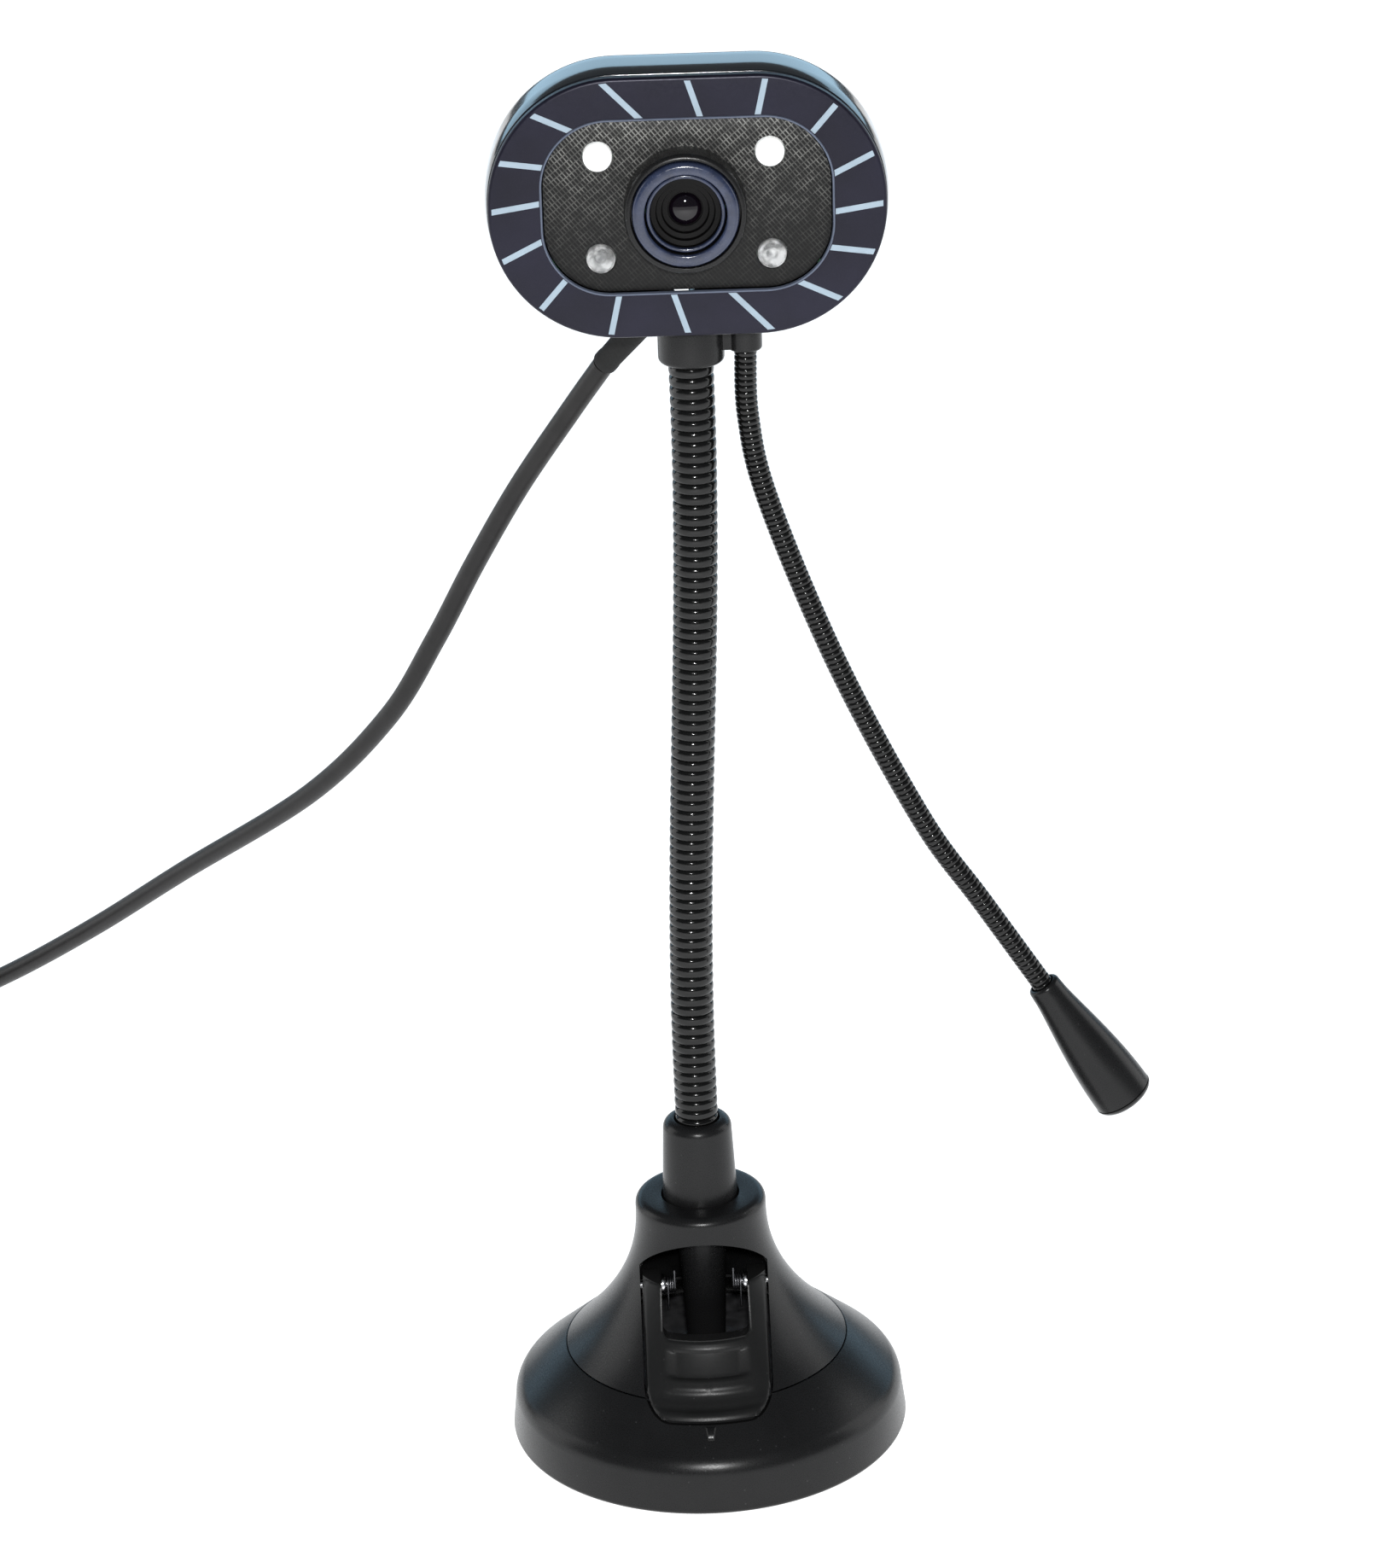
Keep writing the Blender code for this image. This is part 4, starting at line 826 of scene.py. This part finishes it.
def add_bell():
    """Flared bell with a rounded shoulder round the socket and an arched window over the flap."""
    heights = [BELL_FLARE_Z + (SEAM_Z + SEAM_GAP - BELL_FLARE_Z) * i / 40 for i in range(41)]
    wall = [(skin_radius(z), z) for z in heights]
    outer = rounded([(BELL_HOLE_R, BELL_TOP_Z - WALL), (BELL_HOLE_R, BELL_TOP_Z, 0.0003),
                     (BELL_NECK_R, BELL_TOP_Z, 0.0017), (BELL_NECK_R, BELL_FLARE_Z)], steps=8)[:-1]
    inner = []
    for i, (r, z) in enumerate(wall):
        before, after = wall[max(i - 1, 0)], wall[min(i + 1, 40)]
        way = Vector((after[0] - before[0], after[1] - before[1])).normalized()
        inner.append((r + way.y * WALL, max(z - way.x * WALL, wall[-1][1])))
    inner[0] = (inner[0][0], BELL_TOP_Z - WALL)
    bell = lathe("bell", outer + wall + inner[::-1], BLACK, steps=192)
    window = prism("window", clip_outline(CLIP_CLEARANCE), -0.0450, -0.0030)
    pin_way = Matrix.Translation((0, PIN_Y, PIN_Z)) @ Matrix.Rotation(math.radians(90), 4, "Y")
    holes = lathe("pin_hole", [(0, -0.0129), (PIN_R + GAP, -0.0129), (PIN_R + GAP, 0.0129), (0, 0.0129)],
                  place=pin_way, steps=32)
    carve(bell, "DIFFERENCE", window, holes)
    finish(bell, "base", "black_plastic", "bell_housing")


def flap_relief(x, z):
    """How far the flap's surface stands above the bell's line at a place, in metres."""
    u, v = abs(x) * 1000, z * 1000
    height = -0.45 * band(v, 21.0, 24.4, 0.45) * band(u, -1, 5.6, 2.6)
    height += 0.24 * band(v, 19.4, 20.5, 0.7) * band(u, 1.2, 6.4, 2.4)
    height -= 0.22 * band(v, 17.1, 18.6, 0.9) * band(u, -1, 6.6, 2.6)
    height += 0.36 * band(v, 14.0, 16.3, 0.45) * band(u, -1, 8.8, 2.2)
    return height / 1000


def add_flap():
    """Hinged flap: a thick skin on the bell's line with its ledges, grip wings, hollow and lip."""
    outline = clip_outline()
    round_edge = 0.0005
    columns = [(-0.0121 + 0.0242 * i / 88) for i in range(89)]
    levels = [0.0352 + (0.0148 - 0.0352) * i / 72 for i in range(73)]
    front, back = [], []
    for z in levels:
        r = skin_radius(z)
        way = Vector((skin_radius(z - 0.0001) - skin_radius(z + 0.0001), -0.0002)).normalized()
        for x in columns:
            y = -math.sqrt(r * r - x * x)
            outward = Vector((-way.y * x / r, -way.y * y / r, way.x))
            near = edge_distance(x, z, outline)
            fillet = 0.0
            if near < round_edge:
                fillet = round_edge - math.sqrt(round_edge ** 2 - (round_edge - near) ** 2)
            p = Vector((x, y, z))
            front.append(p + outward * (flap_relief(x, z) - fillet))
            back.append(p - outward * CLIP_THICK)
    width = len(columns)
    faces = []
    for i in range(len(levels) - 1):
        for j in range(width - 1):
            a = i * width + j
            faces.append((a, a + 1, a + width + 1, a + width))
            b = a + len(front)
            faces.append((b, b + width, b + width + 1, b + 1))
    border = ([j for j in range(width)] + [i * width + width - 1 for i in range(1, len(levels))]
              + [(len(levels) - 1) * width + j for j in range(width - 2, -1, -1)]
              + [i * width for i in range(len(levels) - 2, 0, -1)])
    for a, b in zip(border, border[1:] + border[:1]):
        faces.append((a, a + len(front), b + len(front), b))
    flap = build("flap", front + back, faces, FLAP_BLACK)
    carve(flap, "INTERSECT", prism("shape", outline, -0.0450, -0.0010))
    axle = Matrix.Translation((0, PIN_Y, PIN_Z)) @ Matrix.Rotation(math.radians(90), 4, "Y")
    side = arc((PIN_Y, PIN_Z), KNUCKLE_R, -70, 80, 16) + [(-0.0170, ARM_TOP_Z - 0.0004), (-0.0170, CLIP_SLOT_Z)]
    core = [(skin_radius(z) - 0.0004, z) for z in levels]
    for a, b in ((-CLIP_HALF_W + 0.0001, -CLIP_SLOT_HALF_W - 0.0001), (CLIP_SLOT_HALF_W + 0.0001, CLIP_HALF_W - 0.0001)):
        cheek = along_x("cheek", side, a, b)
        solid = lathe("core", [(0, levels[0])] + core + [(0, levels[-1])], steps=192)
        carve(cheek, "INTERSECT", solid)
        carve(flap, "UNION", cheek)
    holes = [lathe("hole", [(0, a), (PIN_R + 0.0002, a), (PIN_R + 0.0002, b), (0, b)], place=axle, steps=32)
             for a, b in ((-0.013, -0.006), (0.006, 0.013))]
    carve(flap, "DIFFERENCE", *holes)
    finish(flap, "clip", "black_plastic", "clip_flap")


def add_hinge():
    """Steel pins with domed heads at the arms, and the torsion springs wound round them."""
    axle = Matrix.Translation((0, PIN_Y, PIN_Z)) @ Matrix.Rotation(math.radians(90), 4, "Y")
    inner, outer = PIN_X
    radius = PIN_R + 0.0005
    turns, sides = 3, 20
    for side, sign in (("left", -1), ("right", 1)):
        outline = rounded([(0, inner), (PIN_R, inner, 0.0003), (PIN_R, 0.0072, 0.0001), (0.0019, 0.0072, 0.0004),
                           (0.0019, 0.0079), (PIN_R, 0.0079), (PIN_R, outer, 0.0003), (0, outer)], steps=4)
        outline = [(r, sign * x) for r, x in outline]
        finish(lathe(f"pin_{side}", outline, STEEL, axle, 40), "base", "steel", f"clip_pin_{side}")
        wire = [(sign * 0.0055, PIN_Y - radius, PIN_Z + 0.0036)]
        for i in range(turns * sides + 1):
            a = 2 * math.pi * i / sides
            wire.append((sign * (0.0055 + 0.0013 * i / (turns * sides)), PIN_Y - radius * math.cos(a),
                         PIN_Z - radius * math.sin(a)))
        wire.append((sign * 0.0068, PIN_Y - radius, PIN_Z - 0.0046))
        points = smooth_path(wire, 0.0003)
        spring = tube(f"spring_{side}", frames_along(points, (1, 0, 0)), [0.00022] * len(points), 10, SPRING_STEEL)
        finish(spring, "base", "steel", f"clip_spring_{side}")


def add_column_and_socket():
    """The upright behind the window and the tapered socket that the neck stands in."""
    column = rounded([(0, 0.0453), (0.0092, 0.0453, 0.0003), (0.0092, 0.0434, 0.0003), (0.0047, 0.0434, 0.0010),
                      (0.0034, 0.0115), (0.0034, 0.0080, 0.0008), (0.0062, 0.0080, 0.0004), (0.0062, 0.0042),
                      (0, 0.0042)], steps=4)
    finish(lathe("column", column, BLACK, steps=64), "base", "black_plastic", "neck_column")
    bore = NECK_R + 0.0002
    socket = rounded([(0, 0.0500), (bore, 0.0500), (bore, 0.0634, 0.0003), (0.0063, 0.0634, 0.0019),
                      (0.0070, 0.0470, 0.002), (0.0070, 0.0456), (0, 0.0456)], steps=8)
    finish(lathe("socket", socket, BLACK, steps=96), "base", "black_plastic", "neck_socket")


def add_foot():
    """Ribbed rubber pad; its plate and the screws are the CAD nodes."""
    outline = [(0, 0.0012), (0.0335, 0.0012), (0.0335, 0.0003), (0.0333, 0.0)]
    r = 0.0318
    while r > 0.004:
        outline += [(r, 0.0), (r - 0.0002, 0.0003), (r - 0.0008, 0.0003), (r - 0.0010, 0.0)]
        r -= 0.0028
    outline.append((0, 0.0))
    finish(lathe("foot_pad", outline, RUBBER, steps=96), "base", "rubber", "base_pad")


add_ring()
add_bell()
add_flap()
add_hinge()
add_column_and_socket()
add_foot()


# ================================================================ neck and boom

def rib_radii(count, per_rib, radius, depth):
    """Radii along a tube of rounded ribs, one every per_rib rings."""
    radii = []
    for i in range(count):
        share = 2 * (i % per_rib) / per_rib - 1
        radii.append(radius - depth * (1 - math.sqrt(1 - share * share)))
    return radii


def add_ribbed(name, points, joints, bodies, link, per_rib, radius, depth, sides, reach):
    """A ribbed flexible tube, one piece across each joint, cut in the valleys midway between joints."""
    frames = frames_along(points)
    radii = rib_radii(len(points), per_rib, radius, depth)
    nearest = [min(range(len(points)), key=lambda i: (points[i] - j).length) for j in joints]
    cuts = [0] + [round((a + b) / 2 / per_rib) * per_rib for a, b in zip(nearest, nearest[1:])]
    cuts.append(len(points) - 1)
    spacing = (points[1] - points[0]).length
    offset = round(reach / spacing)
    for k, at in enumerate(nearest):
        first, last = cuts[k], cuts[k + 1]
        piece = tube(f"{name}_{k + 1}", frames[first:last + 1], radii[first:last + 1], sides, NECK_BLACK, 60)
        bend(piece, bodies[k], bodies[k + 1], points[max(at - offset, first)], points[min(at + offset, last)])
        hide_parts(*([f"{link}_1"] if k == 0 else []), f"{link}_{k + 2}")


def add_neck():
    per_rib, pitch = 8, 0.00193
    heights = [0.0505 + (0.2132 - 0.0505) * i / 24 for i in range(25)]
    route = []
    for z in heights:
        share = (z - NECK_LEAN_Z[0]) / (NECK_LEAN_Z[1] - NECK_LEAN_Z[0])
        route.append((NECK_LEAN / 2 * (1 - math.cos(math.pi * min(max(share, 0), 1))), 0, z))
    ribs = round((heights[-1] - heights[0]) / pitch)
    length = sum((Vector(b) - Vector(a)).length for a, b in zip(route, route[1:]))
    points = smooth_path(route, length / (ribs * per_rib))
    add_ribbed("neck", points, neck_joints, NECK_BODIES, "neck_link", per_rib, NECK_R, 0.00034, 32, 0.0095)


def mic_axis():
    """Where the microphone starts, and the way it points."""
    tip = Vector((MIC_TIP[0], 0, MIC_TIP[1]))
    along = (tip - mic_joints[-1]).normalized()
    return tip - along * MIC_LENGTH, along


def add_boom():
    per_rib, pitch = 6, 0.00105
    start, along = mic_axis()
    route = [(BOOM_START[0], 0, BOOM_START[1])] + list(mic_joints)
    route += [mic_joints[-1].lerp(start, 0.5), start + along * 0.0048]
    rough = smooth_path(route, 0.001)
    length = sum((b - a).length for a, b in zip(rough, rough[1:]))
    ribs = round(length / pitch)
    points = smooth_path(route, length / (ribs * per_rib))
    add_ribbed("boom", points, mic_joints, MIC_BODIES, "mic_link", per_rib, BOOM_R, 0.00020, 20, 0.0070)


def add_microphone():
    """Flared microphone housing and its domed cap with a small sound hole."""
    start, along = mic_axis()
    place = Matrix.Translation(start) @ along.to_track_quat("Z", "Y").to_matrix().to_4x4()
    slim, wide = MIC_R
    body = MIC_LENGTH - 0.0022
    bore = BOOM_R + 0.0002
    outer = [(bore, 0.0004)] + rounded([(bore, 0.0), (slim, 0.0, 0.0007), (slim + 0.0002, 0.0030)], steps=5)[1:]
    for i in range(1, 25):
        t = i / 24
        outer.append((slim + 0.0002 + (wide - slim - 0.0002) * math.sin(t * math.pi / 2) ** 1.15 * (1 - 0.02 * t),
                      0.0030 + (body - 0.0030) * t))
    outer += [(wide - 0.0011, body), (wide - 0.0011, body - 0.0060), (0, body - 0.0060), (0, 0.0053), (bore, 0.0053)]
    finish(lathe("mic_body", outer, BLACK, place, 96), "microphone", "black_plastic", "mic_housing")
    hole = 0.0007
    dome = [(hole, MIC_LENGTH - 0.0003), (hole + 0.0003, MIC_LENGTH)]
    for i in range(1, 13):
        a = math.radians(7 * i)
        dome.append((wide * math.sin(a), MIC_LENGTH - 0.0021 * (1 - math.cos(a)) ** 1.1))
    dome += [(wide, body + 0.0002), (wide - 0.0014, body + 0.0002), (wide - 0.0014, body - 0.0010), (hole, body - 0.0010)]
    finish(lathe("mic_end_cap", dome, BLACK, place, 96), "microphone", "black_plastic", "mic_cap")


add_neck()
add_boom()
add_microphone()


# ================================================================ head

def add_rear_case():
    """Glossy rear case with a rounded rim, two screw wells and the hole for the cord."""
    rings = [case_ring(SHELL_BACK - SHELL_WALL, 0.0080), case_ring(0.0070, 0.0034),
             case_ring(0.0020, SHELL_WALL), case_ring(SHELL_FRONT, SHELL_WALL)]
    rim, draft, widest = 0.0003, 0.0004, -0.0040
    rings += [case_ring(SHELL_FRONT + rim * (1 - math.cos(a)), draft + rim * (1 - math.sin(a)))
              for a in (math.radians(15 * k) for k in range(6))]
    front = SHELL_FRONT + rim
    rings += [case_ring(front + (widest - front) * k / 8, draft * (1 - k / 8) ** 2) for k in range(9)]
    rings += [case_ring(y) for y in (-0.0020, 0.0005)]
    for k in range(1, 19):
        a = math.radians(5 * k)
        rings.append(case_ring(0.0015 + 0.0095 * math.sin(a), 0.0061 * (1 - math.cos(a))))
    rings += [case_ring(SHELL_BACK + 0.00015, 0.0100), case_ring(SHELL_BACK + 0.00025, 0.0160)]
    case = loft("rear_case", rings, SHELL_GLOSS, place=CASE)
    tools = []
    for x in (-CASE_SCREW_X, CASE_SCREW_X):
        place = CASE @ Matrix.Translation((x, 0, 0)) @ Matrix.Rotation(math.radians(-90), 4, "X")
        tools.append(lathe("well", [(0, 0.0099), (0.0026, 0.0099), (0.0029, 0.0125), (0, 0.0125)], place=place,
                           steps=48))
    start, end = Vector(SLEEVE_START), Vector(SLEEVE_END)
    place = Matrix.Translation(start) @ (end - start).to_track_quat("Z", "Y").to_matrix().to_4x4()
    tools.append(lathe("cord_hole", [(0, -0.008), (SLEEVE_R[0] + GAP, -0.008), (SLEEVE_R[0] + GAP, 0.008),
                                     (0, 0.008)], place=place, steps=48))
    carve(case, "DIFFERENCE", *tools)
    finish(case, "head", "gloss_shell", "rear_shell")


def add_bezel():
    """Satin frame with a rounded outer edge, and the thin lip round the face plate, its pale colour a painted
    highlight.
    """
    edge = 0.0006
    rings = [case_ring(BEZEL_BACK, BEZEL_INSET)]
    rings += [case_ring(BEZEL_FRONT + edge * (1 - math.sin(a)), BEZEL_INSET + edge * (1 - math.cos(a)))
              for a in (math.radians(15 * k) for k in range(7))]
    rings += [face_ring(BEZEL_FRONT, -0.0004), face_ring(BEZEL_BACK, -0.0004)]
    finish(loft("bezel", rings, SATIN, loop=True, place=CASE), "head", "satin_plastic", "front_bezel")
    lip = 0.0003
    rings = [face_ring(BEZEL_FRONT + 0.0006, 0.0), face_ring(BEZEL_FRONT - lip * 0.3, 0.0),
             face_ring(BEZEL_FRONT - lip, -0.0001), face_ring(BEZEL_FRONT - lip, -0.0003),
             face_ring(BEZEL_FRONT - lip * 0.3, -0.0004), face_ring(BEZEL_FRONT + 0.0006, -0.0004)]
    # the lip's pale colour is a painted highlight
    finish(loft("bezel_lip", rings, LIP_PAINTED_HIGHLIGHT, loop=True, place=CASE), "head", "satin_plastic")


LINE_COUNT = 16                       # pale bars round the frame
LINE_SLANT = math.radians(14)         # turn of a bar's outer end past its inner end
LINE_HALF = 0.0005
LINE_PROUD = 0.00006
LINE_SUNK = 0.0001
LINE_INNER = 0.8                      # a bar starts inside the face plate's outline and ends outside the case's
LINE_OUTER = 1.3


def add_lines():
    """Evenly spaced slanted bars across the frame, a hair proud of it and trimmed to it."""
    verts, faces = [], []
    for k in range(LINE_COUNT):
        inner_turn = math.tau * (k + 0.5) / LINE_COUNT
        outer_turn = inner_turn + LINE_SLANT
        near = Vector((FACE_HALF[0] * math.cos(inner_turn), 0, FACE_HALF[1] * math.sin(inner_turn))) * LINE_INNER
        far = Vector((HEAD_HALF[0] * math.cos(outer_turn), 0, HEAD_HALF[1] * math.sin(outer_turn))) * LINE_OUTER
        ahead = (far - near).normalized()
        side = Vector((-ahead.z, 0, ahead.x)) * LINE_HALF
        front = Vector((0, BEZEL_FRONT - LINE_PROUD, 0))
        back = Vector((0, BEZEL_FRONT + LINE_SUNK, 0))
        first = len(verts)
        for end in (near, far):
            verts += [end + side + front, end - side + front, end - side + back, end + side + back]
        for j in range(4):
            m = (j + 1) % 4
            faces.append((first + j, first + m, first + m + 4, first + j + 4))
        faces.append((first, first + 1, first + 2, first + 3))
        faces.append((first + 4, first + 5, first + 6, first + 7))
    lines = build("bezel_lines", verts, faces, LINE_PALE, CASE)
    near_y, far_y = BEZEL_FRONT - 0.001, BEZEL_FRONT + 0.001
    outer = [case_ring(y, BEZEL_INSET + 0.0007) for y in (far_y, near_y)]
    inner = [face_ring(y, -0.0005) for y in (near_y, far_y)]
    carve(lines, "INTERSECT", loft("band", outer + inner, loop=True, place=CASE))
    finish(lines, "head", "satin_plastic")


def add_face():
    """Slightly crowned black face plate with holes for the lens and the four lights."""
    gap = 0.0002
    rings = [face_ring(FACE_BACK, gap), face_ring(FACE_FRONT + 0.0002, gap)]
    for k in range(1, 12):
        share = k / 12
        rings.append([(x * (1 - share), FACE_FRONT - 0.0005 * (1 - (1 - share) ** 2),
                       FACE_RISE + (z - FACE_RISE) * (1 - share)) for x, _, z in face_ring(0, gap + 0.0001)])
    face = loft("hatched_plate", rings, FACE, place=CASE)
    tools = [lathe("hole", [(0, -0.02), (0.0080, -0.02), (0.0080, 0), (0, 0)], place=LENS, steps=64)]
    for x, z in led_spots():
        place = LENS @ Matrix.Translation((x, -z, 0))
        tools.append(lathe("hole", [(0, -0.02), (0.0027, -0.02), (0.0027, 0), (0, 0)], place=place, steps=40))
    carve(face, "DIFFERENCE", *tools)
    finish(face, "head", "black_plastic", "face_plate")


def led_spots():
    return [(x * LED_X, z * LED_Z) for z in (1, -1) for x in (-1, 1)]


def add_lights():
    """Four clear domes, each over a pale cup with its chip."""
    for i, (x, z) in enumerate(led_spots()):
        place = LENS @ Matrix.Translation((x, -z, 0))
        r, tip = 0.0025, FACE_FRONT - 0.0022
        outline = [(0, tip)]
        outline += [(r * math.sin(math.radians(a)), tip + 0.0020 * (1 - math.cos(math.radians(a))))
                    for a in range(10, 91, 10)]
        outline += [(r, FACE_BACK + GAP), (r + 0.0004, FACE_BACK + GAP), (r + 0.0004, FACE_BACK + 0.0014),
                    (0, FACE_BACK + 0.0014)]
        dome = lathe(f"light_dome_{i + 1}", outline, CLEAR, place, 48)
        finish(dome, "head", "clear_led", f"led_{i + 1}")
        cup = [(0, -0.0098), (0.0006, -0.0098), (0.0008, -0.0101), (0.0019, -0.0108), (0.0021, -0.0107),
               (0.0021, -0.0090), (0, -0.0090)]
        # painted glow in the cups, brighter in the upper pair than in the lower
        core = PAINTED_GLOW_UPPER if z > 0 else PAINTED_GLOW_LOWER
        finish(lathe(f"light_cup_{i + 1}", cup, core, place, 40), "head", "clear_led")


def add_lens():
    """Lens holder, glossy focus ring, stepped cone of the barrel and the front glass."""
    seat, front = RING_SEAT_Y, HOLDER_Y[0]
    tube_front, back = HOLDER_TUBE_Y
    holder = rounded([(0.0077, back), (0.0077, HOLDER_Y[1]), (0.0104, HOLDER_Y[1], 0.0002),
                      (0.0104, front, 0.0008), (0.0094, front, 0.0001), (0.0094, seat), (0.0077, seat),
                      (0.0077, tube_front, 0.0001), (0.0072, tube_front, 0.0001), (0.0072, back)],
                     closed=True, steps=5)
    finish(lathe("holder", holder, BLACK, LENS, 128), "head", "black_plastic", "lens_holder")
    near, far = RING_Y
    ring = rounded([(RING_R, far, 0.0002), (RING_R, near, 0.0009), (RING_LIP_R, near, 0.00035),
                    (RING_LIP_R, near + 0.0010, 0.0002), (0.0080, near + 0.0010), (0.0080, far)],
                   closed=True, steps=7)
    finish(lathe("focus_ring_gloss", ring, RING_GLOSS, LENS, 128), "focus_ring", "gloss_ring", "focus_ring")
    near, far = BARREL_Y
    rim = rounded([(0.0067, near + 0.0012), (0.0067, near, 0.0002), (0.0061, near, 0.0002),
                   (0.0061, near + 0.0012)], closed=True, steps=4)
    finish(lathe("barrel_rim", rim, RING_GLOSS, LENS, 128), "lens_barrel", "black_plastic")
    near += 0.0006
    barrel = [(0, far), (0.0067, far), (0.0067, near + 0.0007), (0.0060, near + 0.0007), (0.0060, near)]
    r, y = 0.0060, near
    for drop in CONE_STEPS:
        barrel += [(r - 0.0001, y + drop * 0.9), (r - 0.0009, y + drop)]
        r, y = r - 0.0010, y + drop
    barrel += [(0.0030, y), (0.0029, y + 0.0003), (0, y + 0.0003)]
    finish(lathe("barrel", barrel, DARK, LENS, 96), "lens_barrel", "black_plastic", "lens_barrel")
    glass = [(0, y - 0.0010)]
    glass += [(0.0028 * math.sin(math.radians(a)), y - 0.0010 + 0.0012 * (1 - math.cos(math.radians(a))))
              for a in range(10, 91, 10)]
    glass += [(0.0028, y + 0.0003), (0, y + 0.0003)]
    finish(lathe("front_glass", glass, GLASS, LENS, 64), "lens_barrel", "lens_glass", "lens_glass")


def add_collar():
    """Boss under the case for the neck, with the smaller boss for the boom beside it."""
    bottom, top = COLLAR_Z
    collar = lathe("collar", rounded([(0, top), (COLLAR_R, top, 0.0002), (COLLAR_R, bottom, 0.0010), (0, bottom)],
                                     steps=6), BLACK, HEAD, 96)
    side = HEAD @ Matrix.Translation((MIC_BOSS_X, 0, 0))
    boss = lathe("boss", rounded([(0, top - 0.0001), (MIC_BOSS_R, top - 0.0001), (MIC_BOSS_R, MIC_BOSS_Z, 0.0006),
                                  (0, MIC_BOSS_Z)], steps=5), place=side, steps=64)
    web = prism("web", rounded([(0, top - 0.0002), (MIC_BOSS_X, top - 0.0002), (MIC_BOSS_X, MIC_BOSS_Z + 0.0004),
                                (0, MIC_BOSS_Z + 0.0004)]), -0.0018, 0.0018, place=HEAD)
    carve(collar, "UNION", boss, web)
    bore = lathe("bore", [(0, 0), (NECK_R + 0.0002, 0), (NECK_R + 0.0002, 0.0180), (0, 0.0180)], place=HEAD, steps=64)
    at = Matrix.Translation((BOOM_START[0], 0, BOOM_START[1]))
    boom_bore = lathe("boom_bore", [(0, -0.02), (BOOM_R + 0.0002, -0.02), (BOOM_R + 0.0002, 0.0003), (0, 0.0003)],
                      place=at, steps=48)
    carve(collar, "DIFFERENCE", bore, boom_bore)
    finish(collar, "head", "black_plastic", "head_collar")


def add_case_screws():
    """Cross-head screws sunk in the back of the case."""
    for i, x in enumerate((-CASE_SCREW_X, CASE_SCREW_X)):
        place = CASE @ Matrix.Translation((x, 0, 0)) @ Matrix.Rotation(math.radians(-90), 4, "X")
        head = lathe(f"screw_{i + 1}", rounded([(0, 0.0102), (0.0022, 0.0102), (0.0022, 0.0108, 0.0003), (0, 0.0110)],
                                               steps=4), STEEL, place, 48)
        tools = []
        for turn in (0, 90):
            bar = place @ Matrix.Rotation(math.radians(turn + 20), 4, "Z")
            tools.append(prism("cross", [(-0.0014, 0.0105), (0.0014, 0.0105), (0.0014, 0.0120), (-0.0014, 0.0120)],
                               -0.0003, 0.0003, place=bar))
        carve(head, "DIFFERENCE", *tools)
        finish(head, "head", "steel", f"case_screw_{i + 1}")


add_rear_case()
add_bezel()
add_lines()
add_face()
add_lights()
add_lens()
add_collar()
add_case_screws()


# ================================================================ carried-over CAD nodes

def dress(material, *names):
    for name in names:
        slots = frame["nodes"][name].material_slots
        for s in slots:
            s.material = material


dress(BLACK, "base_plate")
dress(IRON, "base_weight")
dress(STEEL, "base_screw_1", "base_screw_2", "base_screw_3", "neck_screw", "mic_capsule")
dress(RUBBER, "clip_pad")
dress(BOARD, "circuit_board")
dress(DARK, "image_sensor")
